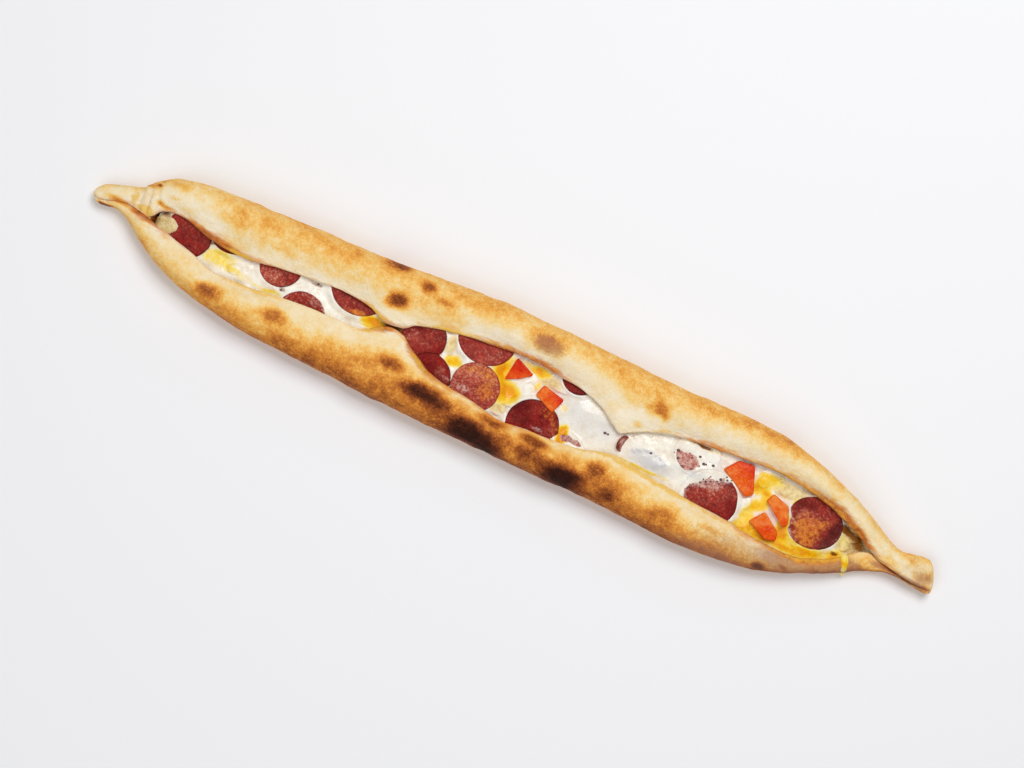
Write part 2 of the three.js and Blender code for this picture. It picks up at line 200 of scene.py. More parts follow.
LOWER = Fold(
    -1,
    edge=[(-264, 5.2), (-257, 5), (-249, 3.9), (-241, 6.5), (-230, 14), (-215, 22.7), (-195, 29.8),
          (-160, 36), (-110, 39.3), (-30, 41.8), (60, 42), (115, 43.8), (150, 41.8), (175, 36.5),
          (200, 26.5), (230, 11.3), (240, 8.5), (257, 10.3)],
    lip=[(-262, 3), (-256, 1.6), (-250, -0.3), (-243, -1.6), (-237, -1), (-232, 0.1), (-228.5, 0.7),
         (-226, 1.5), (-221, 2.8), (-210, 5.6), (-196, 8.8), (-184, 12.6), (-166, 12.6), (-140, 9.7),
         (-110, 8), (-94, 7), (-89, 5.2), (-84, 2), (-80, 0.2), (-76.5, -0.6), (-72.5, -0.3), (-69, 0.4),
         (-66, 2.2), (-63, 4.7), (-60, 6.5), (-55, 9.3), (-45, 14), (-20, 18.2), (4, 20.8), (50, 16.8),
         (66, 12.5), (78, 13.4), (110, 17.1), (140, 19.6), (165, 22), (186, 21.4), (196, 18.2), (205, 14.2),
         (209, 11.6), (212, 8.8), (216, 5.6), (220, 3.4), (225, 2.5), (229, 3.9), (234, 5.2), (250, 8.2)],
    crest=[(-264, 8), (-250, 11), (-238, 13.5), (-225, 17), (-205, 21), (-160, 23.4), (-30, 24.6),
           (110, 24), (160, 21.8), (185, 18), (205, 14.6), (230, 10.8), (245, 9.8), (262, 9.5)],
    lip_height=[(-264, 7.5), (-240, 11.6), (-215, 15.8), (-150, 17.2), (-78, 18), (60, 17.8), (150, 16.8),
                (180, 14.8), (205, 12.2), (225, 9), (240, 8), (262, 8.4)],
)
# How high the tails' undersides are above the ground
LIFT = curve((-264, 3), (-246, 2), (-228, 0), (228, 0), (246, 1.5), (264, 2.5))

# The drawing's place in the frame: the frame's origin is under the middle of the dough's outline
dough_low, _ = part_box("dough")
MIDDLE = (LEFT_TIP - dough_low[0] / MM, -np.max(LOWER.edge(np.arange(0, 200, 0.5))) - dough_low[1] / MM)


def swell(x, side):
    """The crest's slow rise and fall along x in mm: two sines, out of step on the two sides."""
    return 0.5 * np.sin(x / 15 + side) + 0.35 * np.sin(x / 6.3 - 2 * side)


def pleat(x, y):
    """The height that the pinched pleats add: a sine along x, faded out at both ends and to both sides, in
    places that lean along x, and waver by a sine, as they go across."""
    along = ease(x, PLEATS_FROM, PLEATS_FROM + PLEAT_FADE) * (1 - ease(x, PLEATS_TO, PLEATS_TO + PLEAT_FADE))
    across = ease(y, -1, 3) * (1 - ease(y, PLEAT_REACH - 5, PLEAT_REACH))
    bent = x + 0.14 * (y - 7) + 0.5 * np.sin(y / 2.4)
    wave = np.sin(2 * np.pi * PLEATS * (bent - PLEATS_FROM) / (PLEATS_TO - PLEATS_FROM))
    return PLEAT_HEIGHT * wave * along * across


def fitted(size, room):
    """A size of (full, share): its full length, or its share of the room where that is less."""
    full, share = size
    return np.minimum(full, share * room)


def half(fold, x):
    """One fold's half of the section at each x, as two arrays of (across, height) points. The outer one goes
    from under the dough, round the side and over the crest to the tip of the lip, and the inner one comes
    back under the fold and down the hollow's wall to its floor. With them come the height of the hollow's
    floor in the middle and of the underside. In the closed tails the hollow shrinks to a crease."""
    low = LIFT(x)
    edge = fold.edge(x)
    lip = fold.lip(x)
    size = ease(fold.crest(x), *LIP_GROWS)
    crest = fold.crest(x) + swell(x, fold.side) * size
    wide = edge - lip
    thick = np.minimum(mix(TAIL_LIP, LIP, size), LIP_SHARE * wide)
    foot = fitted(FOOT, wide)
    inset = fitted(CREST_INSET, wide)
    side = mix(low, crest, SIDE_HEIGHT_SHARE)
    lip_height = fold.lip_height(x)
    near = lip + thick / 2

    outer = []
    for angle in np.radians([-90, -52, -22]):
        outer.append((edge - foot + foot * np.cos(angle), side + (side - low) * np.sin(angle)))
    for angle in np.radians([0, 26, 50, 70, 90]):
        outer.append((edge - inset + inset * np.cos(angle) ** 0.9, side + (crest - side) * np.sin(angle)))
    for share in (0.35, 0.7):
        height = mix(lip_height + thick / 2, crest, np.cos(share * np.pi / 2))
        outer.append((mix(edge - inset, near, share), height))
    for angle in np.radians([90, 35, -35]):
        outer.append((near - thick / 2 * np.cos(angle), lip_height + thick / 2 * np.sin(angle)))

    floor = low + fitted(FLOOR, crest - low)
    roof = crest - fitted(FLAP, crest - low)
    far = edge - fitted(WALL, wide)
    under = lip_height - thick / 2
    inner = [
        (near, under),
        (mix(near, far, 0.4), mix(under, roof, 0.75)),
        (mix(near, far, 0.78), roof),
        (mix(near, far, 0.97), mix(side, roof, 0.6)),
        (far, side),
        (mix(near, far, 0.9), mix(floor, side, 0.25)),
        (mix(near, far, 0.6), floor),
    ]
    opening = hollowness(x)
    crease = (1 - opening) * (lip_height + thick / 2 - CREASE_DEPTH)
    inner = [(mix(lip, y, opening), np.maximum(mix(under, z, opening), crease)) for y, z in inner]
    outer[-1] = (outer[-1][0], np.maximum(outer[-1][1], crease))
    turned = []
    for points in (outer, inner):
        turned.append(np.array([(fold.side * y, z) for y, z in points]).transpose(2, 0, 1))
    return *turned, np.maximum(mix(under, floor, opening), crease), low


def hollowness(x):
    """0 in the closed tails, 1 where the hollow under the folds is at its full size."""
    return ease(x, *HOLLOW_OPENS) * (1 - ease(x, *HOLLOW_CLOSES))


def round_loop(points, counts):
    """A smooth closed loop through each row of points (rows, k, 2): a cubic on each span, with slopes that
    allow for uneven spans by the square roots of their lengths. counts says into how many steps each span is
    cut. The second result is each sample's place, counted in spans."""
    ahead = np.roll(points, -1, axis=1)
    span = np.sqrt(np.linalg.norm(ahead - points, axis=2, keepdims=True)) + 1e-4
    back = np.roll(span, 1, axis=1)
    behind = np.roll(points, 1, axis=1)
    slope = (points - behind) / back - (ahead - behind) / (back + span) + (ahead - points) / span
    samples = []
    places = []
    for k, count in enumerate(counts):
        after = (k + 1) % points.shape[1]
        for t in np.arange(count) / count:
            turn = t * t * (3 - 2 * t)
            ends = points[:, k] * (1 - turn) + points[:, after] * turn
            bend = slope[:, k] * t * (1 - t) ** 2 - slope[:, after] * t * t * (1 - t)
            samples.append(ends + span[:, k] * bend)
            places.append(k + t)
    return np.stack(samples, axis=1), np.array(places)


def stations(step):
    """Places along x: at most a step apart, and crowded towards the tips as on a quarter circle."""
    turn = np.linspace(0, np.pi / 2, TIP_STEPS, endpoint=False)
    left = LEFT_TIP + LEFT_ROUNDING * (1 - np.cos(turn))
    right = RIGHT_TIP - RIGHT_ROUNDING * (1 - np.cos(turn))
    count = int((RIGHT_TIP - RIGHT_ROUNDING - LEFT_TIP - LEFT_ROUNDING) / step)
    body = np.linspace(LEFT_TIP + LEFT_ROUNDING, RIGHT_TIP - RIGHT_ROUNDING, count)
    return np.r_[left, body, right[::-1]]


def fullness(x):
    """How far the section has opened from a tip: a quarter circle of the distance from it."""
    short = np.minimum(np.minimum((x - LEFT_TIP) / LEFT_ROUNDING, (RIGHT_TIP - x) / RIGHT_ROUNDING), 1)
    return np.sqrt(np.maximum(0, 1 - (1 - short) ** 2))


def normals(points):
    """Unit normals of a grid closed round its second axis: the cross product of its two differences."""
    along = np.gradient(points, axis=0)
    around = np.roll(points, -1, axis=1) - np.roll(points, 1, axis=1)
    normal = np.cross(along, around)
    return normal / (np.linalg.norm(normal, axis=2, keepdims=True) + 1e-9)


# Meshes

# Points nearer than the first are merged, and edges shorter than the second are dissolved, in mm
MERGE_DISTANCE = 0.004
SHORTEST_EDGE = 0.003


def make_piece(name, points, material, nodes, fields=None, faces=None):
    """A piece from points in mm on the drawing: moved to the frame, merged where points meet, and tidied.
    Its faces are those of a closed grid unless others are given. fields are values from 0 to 1 for each
    point, which its material reads by name."""
    if faces is None:
        faces = grid_faces(*points.shape[:2])
    points = np.array(points, float).reshape(-1, 3)
    points[:, :2] -= MIDDLE
    mesh = bpy.data.meshes.new(name)
    mesh.from_pydata((points * MM).tolist(), [], faces.tolist())
    for field, values in (fields or {}).items():
        data = mesh.attributes.new(field, "FLOAT", "POINT").data
        data.foreach_set("value", np.clip(np.asarray(values, np.float32).ravel(), 0, 1))
    work = bmesh.new()
    work.from_mesh(mesh)
    bmesh.ops.remove_doubles(work, verts=work.verts, dist=MERGE_DISTANCE * MM)
    bmesh.ops.dissolve_degenerate(work, edges=work.edges, dist=SHORTEST_EDGE * MM)
    bmesh.ops.recalc_face_normals(work, faces=work.faces)
    work.to_mesh(mesh)
    work.free()
    mesh.shade_smooth()
    mesh.materials.append(material)
    piece = bpy.data.objects.new(name, mesh)
    bpy.context.scene.collection.objects.link(piece)
    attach(piece, "root")
    if nodes:
        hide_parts(*nodes)
    return piece


def grid_faces(rows, around):
    """The four-sided faces of a grid that is closed round its second axis."""
    a = np.arange((rows - 1) * around).reshape(rows - 1, around)
    b = np.roll(a, -1, axis=1)
    return np.stack([a, b, b + around, a + around], axis=-1).reshape(-1, 4)


# Shader maths

class Wire:
    """A socket that sums can be written with. Each operator adds one Math node."""

    def __init__(self, paint, socket):
        self.paint = paint
        self.socket = socket

    def math(self, operation, *values):
        """A Math node on the values."""
        return self.paint.node("Math", {"operation": operation}, *values)

    def __add__(self, other):
        return self.math("ADD", self, other)

    def __sub__(self, other):
        return self.math("SUBTRACT", self, other)

    def __rsub__(self, other):
        return self.math("SUBTRACT", other, self)

    def __mul__(self, other):
        return self.math("MULTIPLY", self, other)

    def __truediv__(self, other):
        return self.math("DIVIDE", self, other)

    __radd__ = __add__

    def least(self, other):
        """The smaller of the two."""
        return self.math("MINIMUM", self, other)

    def ease(self, start, end):
        """0 up to start and 1 from end on, and t*t*(3 - 2t) between them."""
        settings = {"interpolation_type": "SMOOTHSTEP"}
        return self.paint.node("MapRange", settings, self, start, end, 0.0, 1.0)


class Paint:
    """A material's nodes, on its Principled shader."""

    def __init__(self, name, **constants):
        self.material = bpy.data.materials.new(name)
        self.material.use_nodes = True
        self.tree = self.material.node_tree
        self.shader = self.tree.nodes["Principled BSDF"]
        for socket, value in constants.items():
            self.shader.inputs[socket.replace("_", " ")].default_value = value
        self.place = self.node("TexCoord", {}, out="Object")

    def node(self, kind, settings, *values, out=0, **named):
        """Any node: its settings first, then its sockets in order, then those given by number or name."""
        made = self.tree.nodes.new("ShaderNode" + kind)
        for key, value in settings.items():
            if key == "stops":
                self.set_stops(made.color_ramp, value)
            else:
                setattr(made, key, value)
        sockets = list(enumerate(values))
        for key, value in named.items():
            sockets.append((int(key[1:]) if key[1:].isdigit() else key.replace("_", " "), value))
        for key, value in sockets:
            if isinstance(value, Wire):
                self.tree.links.new(value.socket, made.inputs[key])
            elif value is not None:
                made.inputs[key].default_value = value
        return Wire(self, made.outputs[out])

    def set_stops(self, ramp, stops):
        """Gives a colour ramp its stops, each a place from 0 to 1 and a colour."""
        while len(ramp.elements) < len(stops):
            ramp.elements.new(0.5)
        for element, (place, colour) in zip(ramp.elements, stops):
            element.position = place
            element.color = colour

    def field(self, name):
        """The values of that name that the mesh carries."""
        return self.node("Attribute", {"attribute_name": name}, out="Fac")

    def noise(self, size, detail=3.0, roughness=0.55, stretch=None):
        """Noise of lumps about size mm across, round 0.5, its coordinates first scaled by stretch."""
        place = self.place
        if stretch:
            place = self.node("Mapping", {}, place, Scale=stretch)
        return self.node("TexNoise", {}, place, None, 1 / (size * MM), detail, roughness)

    def blend(self, share, a, b):
        """Colour a where share is 0 and b where it is 1."""
        return self.node("Mix", {"data_type": "RGBA"}, share, i6=a, i7=b, out=2)

    def ramp(self, share, *stops):
        """The colour at share on a ramp of stops."""
        return self.node("ValToRGB", {"stops": stops}, share)

    def bump(self, height, depth):
        """Relief of depth mm where height goes from 0 to 1."""
        return self.node("Bump", {}, 1.0, depth * MM, Height=height)

    def finish(self, **links):
        """Links the wires to the shader's sockets and gives back the material."""
        for socket, wire in links.items():
            self.tree.links.new(wire.socket, self.shader.inputs[socket.replace("_", " ")])
        return self.material


def tone(red, green, blue):
    """A colour given as it shows on a screen, 0 to 255, as the light it stands for."""
    shares = [v / 255 for v in (red, green, blue)]
    light = [v / 12.92 if v <= 0.04045 else ((v + 0.055) / 1.055) ** 2.4 for v in shares]
    return (*light, 1.0)


# Materials

# The crust's toasting at its blackest. Meshes carry it as a share of this.
MOST_TOAST = 1.6


def dough_material():
    """Baked dough: pale where floury, golden and then brown as it toasts, black-brown where scorched."""
    paint = Paint("baked_dough", Subsurface_Weight=0.04, Subsurface_Scale=0.003,
                  Subsurface_Radius=(1.0, 0.5, 0.25), Specular_IOR_Level=0.12)
    broad = paint.noise(8, 4)
    middle = paint.noise(3, 4, 0.65)
    fine = paint.noise(1.1, 3, 0.7)
    toast = paint.field("toast") * MOST_TOAST
    speckle = (middle - 0.5) * 0.9 + (fine - 0.5) * 1.05
    level = toast + (broad - 0.5) * 0.6 + speckle * (toast * 0.9 + 0.22).least(0.7)
    crust = paint.ramp(
        level / MOST_TOAST,
        (0.0, tone(253, 238, 210)),
        (0.11, tone(250, 227, 180)),
        (0.24, tone(250, 208, 127)),
        (0.37, tone(243, 176, 78)),
        (0.5, tone(214, 131, 49)),
        (0.64, tone(158, 84, 34)),
        (0.8, tone(98, 44, 20)),
        (1.0, tone(50, 20, 10)),
    )
    fleck = (fine + (middle - 0.5) * 0.5).ease(0.56, 0.72)
    fleck = fleck * toast.ease(0.2, 0.55) * (1 - toast.ease(0.6, 1.0))
    crust = paint.blend(fleck * 0.5, crust, tone(246, 196, 116))
    # Dull brown laid over the crust: partly floury tone, partly painted shade on the lower flank, under the
    # tails and in the pleats' grooves
    dusk = (paint.field("dusk") + speckle * 0.5).ease(0.2, 1.1)
    crust = paint.blend(dusk * 0.75, crust, tone(170, 112, 86))
    flour = (paint.field("flour") + (fine - 0.5) * 1.4).ease(0.6, 1.2)
    flour = flour * (1 - toast.ease(0.4, 0.85))
    crust = paint.blend(flour * 0.4, crust, tone(251, 238, 214))
    streaks = paint.noise(1.8, 3, 0.6, stretch=(0.3, 1, 1))
    oily = paint.field("stain")
    stain = (oily + (streaks - 0.5) * 1.1).ease(0.2, 0.85)
    oil = paint.ramp(
        streaks * 0.7 + middle * 0.3 - oily * 0.3,
        (0.04, tone(138, 58, 0)),
        (0.24, tone(200, 104, 20)),
        (0.42, tone(232, 152, 62)),
    )
    crust = paint.blend(stain * 0.95, crust, oil)
    egg = (paint.field("egg") + speckle * 0.7).ease(0.25, 0.9)
    crust = paint.blend(egg * 0.8, crust, tone(240, 190, 70))
    relief = middle * 0.5 + fine * 0.35 + paint.noise(0.6, 2) * 0.15
    rough = 0.52 + (middle - 0.5) * 0.3 + toast * 0.15
    return paint.finish(Base_Color=crust, Roughness=rough, Normal=paint.bump(relief, 1.1))


def filling_material():
    """Set egg white, glossy and warm white, with yolk and melted cheese in patches."""
    paint = Paint("cheese_and_egg", Subsurface_Weight=0.08, Subsurface_Scale=0.003,
                  Subsurface_Radius=(1.0, 0.7, 0.4), Specular_IOR_Level=0.15, Coat_Roughness=0.14)
    broad = paint.noise(6, 3)
    middle = paint.noise(2.4, 3, 0.6)
    fine = paint.noise(0.9, 2)
    white = paint.ramp(broad, (0.32, tone(240, 228, 210)), (0.6, tone(254, 249, 237)))
    white = paint.blend(paint.field("thin") * (0.6 + broad * 0.6), white, tone(204, 202, 204))
    cheese = (paint.field("cheese") + (middle - 0.5) * 0.9).ease(0.25, 0.85)
    curd = paint.ramp(middle, (0.3, tone(214, 180, 108)), (0.65, tone(246, 228, 176)))
    colour = paint.blend(cheese, white, curd)
    yolk = paint.field("yolk") * 1.4 + (middle - 0.5) * 0.5 + (broad - 0.5) * 0.3
    yellow = paint.ramp(
        yolk,
        (0.35, tone(250, 230, 148)),
        (0.6, tone(250, 220, 96)),
        (0.82, tone(246, 196, 16)),
        (1.0, tone(238, 160, 10)),
    )
    set_yolk = yolk.ease(0.2, 0.62)
    colour = paint.blend(set_yolk, colour, yellow)
    # Brown, from browned cheese and from painted shade under the upper lip and round crumbs and slices
    brown = (paint.field("brown") + (fine - 0.5) * 0.6 + (middle - 0.5) * 0.3).ease(0.25, 1.0)
    colour = paint.blend(brown, colour, tone(134, 78, 10))
    relief = middle * 0.6 + fine * 0.2 + broad * 0.4
    rough = 0.34 + cheese * 0.15 + (fine - 0.5) * 0.2
    gloss = (1 - set_yolk * 0.6) * (1 - cheese) * 0.5
    return paint.finish(Base_Color=colour, Roughness=rough, Coat_Weight=gloss, Normal=paint.bump(relief, 0.9))


def sucuk_material():
    """Cured sausage: dark red meat, paler fat flecks, orange oil, egg veils and a few painted highlights."""
    paint = Paint("sucuk", Subsurface_Weight=0.02, Subsurface_Scale=0.002,
                  Subsurface_Radius=(1.0, 0.3, 0.2), Specular_IOR_Level=0.14)
    broad = paint.noise(5, 3)
    middle = paint.noise(2.4, 4, 0.62)
    fine = paint.noise(1.3, 4, 0.65)
    meat = paint.ramp(broad * 0.5 + middle * 0.5, (0.34, tone(100, 2, 4)), (0.66, tone(160, 26, 16)))
    # The light field is fat, and at (-65, -0.5) a painted highlight
    light = paint.field("light")
    meat = paint.blend(light * (0.3 + broad * 0.5), meat, tone(196, 84, 66))
    flecks = (middle * 0.35 + fine * 0.65 + light * 0.1).ease(0.5, 0.7)
    fat = paint.ramp(fine, (0.4, tone(206, 98, 62)), (0.66, tone(236, 176, 146)))
    colour = paint.blend(flecks * (light * 0.6 + 0.1), meat, fat)
    orange = (paint.field("orange") * 0.9 + (middle - 0.5) * 1.3 + (fine - 0.5) * 0.3).ease(0.25, 1.0)
    fat_oil = paint.ramp(middle * 0.6 + fine * 0.4, (0.36, tone(206, 84, 14)), (0.64, tone(236, 158, 58)))
    colour = paint.blend(orange * 0.85, colour, fat_oil)
    dark = (paint.field("dark") + (middle - 0.5) * 0.6).ease(0.1, 1.0)
    colour = paint.blend(dark * 0.8, colour, tone(62, 0, 2))
    # Egg film, and in a few places painted sheen and highlights
    film = (paint.field("film") + (middle - 0.5) * 0.9 + (fine - 0.5) * 0.9).ease(0.35, 0.95)
    colour = paint.blend(film * 0.7, colour, tone(230, 200, 188))
    relief = middle * 0.5 + fine * 0.5
    rough = 0.26 + (fine - 0.5) * 0.4
    return paint.finish(Base_Color=colour, Roughness=rough, Normal=paint.bump(relief, 1.0))


def tomato_material():
    """Baked tomato flesh: wet, orange-red, with paler patches and a redder skin side."""
    paint = Paint("tomato", Subsurface_Weight=0.04, Subsurface_Scale=0.002,
                  Subsurface_Radius=(1.0, 0.35, 0.15), Specular_IOR_Level=0.12)
    broad = paint.noise(5, 2)
    fine = paint.noise(1.2, 3)
    level = broad * 0.6 + fine * 0.4 + 0.3 - paint.field("red") * 0.45
    flesh = paint.ramp(
        level,
        (0.2, tone(192, 16, 0)),
        (0.42, tone(220, 50, 2)),
        (0.62, tone(230, 88, 10)),
        (0.85, tone(241, 138, 56)),
    )
    rough = 0.22 + (fine - 0.5) * 0.15
    return paint.finish(Base_Color=flesh, Roughness=rough, Normal=paint.bump(fine, 0.3))


def speck_material():
    """Pepper and the dark holes of the foam."""
    paint = Paint("pepper", Roughness=0.6, Specular_IOR_Level=0.3)
    colour = paint.ramp(paint.noise(1.5), (0.3, tone(78, 48, 50)), (0.7, tone(136, 102, 104)))
    return paint.finish(Base_Color=colour)


# The dough

# Scorched places on the folds: x, y, half length, half width, strength
SCORCHED = [
    (-80, 16, 6, 5, 1), (-84, 12, 4, 2, 0.3), (-67, 30, 5, 3.4, 0.75), (-55, 25, 7, 2, 0.35),
    (-87, 35, 9, 3, 0.55), (6.4, 28.6, 12, 5.6, 0.72), (79, 20.8, 6, 4.4, 0.65), (84, 18.6, 4, 3, 0.3),
    (-180, -23.5, 8, 4.4, 0.7), (-140, -21.4, 9, 4.5, 0.68), (-68, -17, 7, 4, 0.6), (-68, -31, 8, 4, 0.12),
    (-44, -26, 15, 6, 0.86), (-13, -35, 15, 5.6, 0.95), (1, -39, 8, 4, 0.6), (-2, -23.4, 9, 2.8, 0.85),
    (23, -23.4, 9, 2.8, 0.8), (46, -36, 12, 6, 1.1), (62, -23, 7, 5, 0.5), (73, -35, 7, 4, 0.36),
    (136, -28, 7, 2, 0.3), (168, -35, 3.4, 1.6, 1), (182, -30, 2.4, 1.2, 0.8), (201, -25, 3, 1.4, 0.5),
    (-230, 18.8, 2.2, 1, 0.9), (-229, 22.4, 1.6, 1.2, 0.4), (-225, 9.8, 2.4, 1.5, 1.0),
    (-220.6, 8.6, 3.4, 1.1, 0.9), (-82, -23, 6, 4, 0.12), (-130, -33, 9, 4, 0.12), (-147, 32, 6, 2, 0.2),
]
# Places that are more toasted than the crust round them, or less where the strength is negative. The spots
# at (-255, -4.4) under the left tongue and at (238, -6) and (254, -8.4) under the right tail are partly
# painted shade
TOAST_AND_SHADE = [
    (-113, 29, 12, 5, 0.18), (-131, 27, 9, 4, 0.16), (-123, 13, 6, 2.4, 0.16), (-162, 24, 9, 5, 0.14),
    (-186, 18, 8, 3, 0.14), (38, 29, 14, 5, 0.12), (73, 9, 3.4, 2.2, 0.4), (56, 14, 5, 2, 0.12),
    (108, -27, 7, 5, 0.2), (-77, -27, 14, 6, -0.12), (90, -30, 9, 6, -0.1), (-40, 34, 16, 4, 0.12),
    (125, 35, 30, 4, 0.14), (-217, 23, 6, 2, 0.3), (-235, 17, 6, 1.4, 0.4), (-118, -32, 16, 4, 0.08),
    (0, -28, 34, 7, 0.1), (248.5, 2.6, 3, 2, 0.3), (257, -3, 7, 4, 0.2), (254, -8.4, 9, 1.7, 0.2),
    (262, -7.6, 3, 2, 0.4), (-148, 14, 9, 2, 0.15), (238, -6, 8, 1.4, 0.4), (-251, 1.6, 6, 1.6, 0.45),
    (-219, 16, 3, 1.4, 0.25), (-255, -4.4, 4.6, 1.1, 1.3), (-247, 1.4, 5, 1.4, 0.2),
    (188, -26, 18, 7, 0.14), (-55, 19, 18, 8, 0.2), (-210, 13, 6, 2, 0.16), (235, -2, 8, 2.4, 0.16),
    (214, 7, 12, 2, 0.1), (120, 20, 16, 3, 0.1), (-176, 20, 14, 13, 0.12), (-176, 6, 9, 4, 0.2),
    (-24, 31, 16, 8, 0.22), (-45, 25, 11, 9, 0.16), (-66, 17, 10, 7, 0.12), (66, 27, 17, 9, 0.12),
    (88, 23, 10, 5, 0.08), (154, 29, 15, 8, 0.14), (22, 26, 9, 5, 0.08), (-88, 32, 11, 6, 0.2),
    (-44, 13, 12, 3, 0.24), (88, 17, 8, 5, 0.12), (-110, -20, 8, 4, 0.1), (44, -23, 10, 4, 0.14),
    (-40, -18, 9, 2.5, 0.15), (-20, -21, 8, 2.5, 0.15), (24, -32, 7, 5, 0.24), (207, -20, 18, 8, 0.24),
    (221, -9, 8, 6, 0.24), (-220, -14, 8, 4, 0.06), (108, -34, 13, 7, 0.14), (165, -36, 28, 6, 0.14),
    (-176, -31, 16, 4, 0.1), (212, -16, 14, 6, 0.14), (-176, 4, 9, 3, 0.1),
]
# Dull brown: partly the crust's floury tone, as in the spot at x = 8 on the upper fold, and partly painted
# shade on the lower fold's flank and foot, under both tails and in the pleats' grooves
DULL_BROWN_AND_SHADE = [
    (150, -33, 30, 10, 0.7), (190, -27, 22, 9, 1.15), (208, -19, 20, 9, 1.1), (216, -13, 10, 6, 0.5),
    (130, -41, 34, 4, 0.6), (-220, -12, 6, 3, 0.2), (8, 28.4, 11, 6, 1.1), (-181, -23, 9, 5, 0.4),
    (-140, -22, 9, 5, 0.4), (79, 20.6, 8, 5, 0.35), (252, 1, 13, 9, 0.45), (259, -4, 6, 4, 0.6),
    (229, -6.4, 5, 2.4, 0.6), (-66, -30, 20, 5, 0.2), (-234, 8, 6, 8, 0.42), (256, -9, 10, 2.2, 1.4),
    (-255, -4.4, 4.6, 1.2, 0.9), (240, -7.4, 13, 2, 0.9),
]
# Yellow blobs of egg or oil on the crust
YELLOWED = [
    (-240, 7, 2.6, 3.4, 0.8), (-233, 3, 4, 2.4, 0.9), (-229, 2.4, 3, 2.6, 0.8), (-222.6, 9.6, 5, 1.6, 0.34),
    (-217, 23.5, 3.6, 1.3, 0.7), (-218, 16, 3, 1, 0.4), (-157, 14, 5, 2, 0.35), (-219, -12, 5, 1.6, 0.3),
    (-184, 19, 3, 1, 0.3),
]
# How strongly the lips are stained along x: brown by the oil, yellow by the egg
UPPER_OIL = curve((-256, 0.4), (-249, 0.7), (-244, 0.45), (-238, 0.4), (-228, 0.5), (-218, 0.6),
                  (-211, 0.5), (-203, 0.9), (-196, 1.2), (-182, 1.2), (-172, 1), (-150, 0.4), (-108, 0.4),
                  (-90, 0.7), (-72, 0.5), (-40, 0.4), (-16, 0.8), (16, 0.8), (36, 0.25), (90, 0.35),
                  (114, 0.75), (135, 0.65), (150, 0.8), (180, 0.9), (192, 1.15), (206, 1.3), (216, 1.15),
                  (226, 0.65), (236, 0.4), (246, 0.25), (262, 0.2))
LOWER_OIL = curve((-262, 0.3), (-255, 0.5), (-244, 0.4), (-237, 0.9), (-231, 1), (-222, 0.7), (-200, 0.2),
                  (-170, 0.35), (-130, 0.15), (-96, 0.2), (-88, 0.7), (-80, 1), (-72, 0.5), (-56, 0.95),
                  (-40, 0.7), (-20, 0.5), (0, 0.7), (20, 0.5), (40, 0.4), (70, 0.3), (100, 0.4), (140, 0.5),
                  (180, 0.9), (205, 0.9), (222, 0.2), (234, 0.2), (262, 0.2))
UPPER_EGG = curve((-185, 0.3), (-172, 1), (-158, 0.3), (-104, 0.2), (-86, 0.9), (-74, 0.2), (-50, 0.8),
                  (-26, 0.6), (10, 0.3), (50, 0.1), (88, 0.6), (104, 0.2), (150, 0.6), (200, 0.5),
                  (230, 0.2))
LOWER_EGG = curve((-190, 0.1), (-176, 0.5), (-152, 0.9), (-130, 0.3), (-98, 0.3), (-86, 0.8), (-70, 0),
                  (-55, 0.8), (-44, 0.4), (-20, 0.1), (40, 0.6), (84, 0.9), (120, 0.8), (150, 0.4),
                  (210, 0.7), (222, 0))
# Along x, how much more toasted each fold is at its outer edge than at its lip, how toasted the upper one is
# all over, and how far across each fold the toasting starts
UPPER_TOAST = curve((-240, 0.2), (-205, 0.22), (-180, 0.32), (-150, 0.32), (-60, 0.36), (20, 0.42),
                    (100, 0.44), (140, 0.4), (170, 0.3), (200, 0.22), (262, 0.24))
LOWER_TOAST = curve((-240, 0.2), (-210, 0.24), (-180, 0.34), (-110, 0.56), (-60, 0.6), (60, 0.62),
                    (110, 0.56), (150, 0.4), (200, 0.3), (262, 0.26))
UPPER_BASE = curve((-264, 0.14), (-200, 0.07), (-140, 0.08), (0, 0.03), (130, 0.03), (165, 0.12),
                   (210, 0.14), (264, 0.2))
UPPER_PALE = curve((-200, 0.3), (-150, 0.05), (-80, 0.05), (-40, 0.3), (30, 0.34), (80, 0.2), (150, 0.34),
                   (200, 0.5))
LOWER_PALE = curve((-200, 0.3), (-100, 0.2), (-50, 0), (60, 0.04), (110, 0.16), (150, 0.3), (200, 0.5))
# Creases pressed into the folds by the fingers: x, y, half length, half width, depth in mm
CREASES = [
    (-88, -6.4, 5, 0.9, 0.5), (-81, -3.6, 4, 0.8, 0.6), (-75, -2.2, 3, 0.8, 0.7), (-69, -3.6, 3, 0.8, 0.6),
    (-65, -6, 3, 0.9, 0.6), (-76, 4, 3, 0.8, 0.5), (-70, 6.4, 4, 0.8, 0.6), (-234, -4, 8, 1.2, 0.4),
    (60, 9, 3, 6, 0.5), (-236, 11, 1.1, 7, 1), (-231, 12, 1, 6, 0.9), (-226, 16, 1.3, 6, 0.8),
    (236, -3, 9, 1.2, 0.5),
]
# The crust's relief: height, size of its lumps, seed, and how far it is blown up where scorched
RELIEF = [(0.55, 19, 11), (0.35, 8, 12), (0.16, 3.2, 13), (0.08, 1.6, 14)]
BLISTER = 0.6
STEP = 1.15
# Into how many steps each span of the section's half is cut, from under the dough to the hollow's floor, and
# the place among them where the lip turns under
SPANS = [3, 2, 2, 3, 3, 3, 3, 3, 6, 7, 6, 4, 4, 3, 2, 1, 1, 1, 1, 1, 1]
LIP_TURN = 13.5


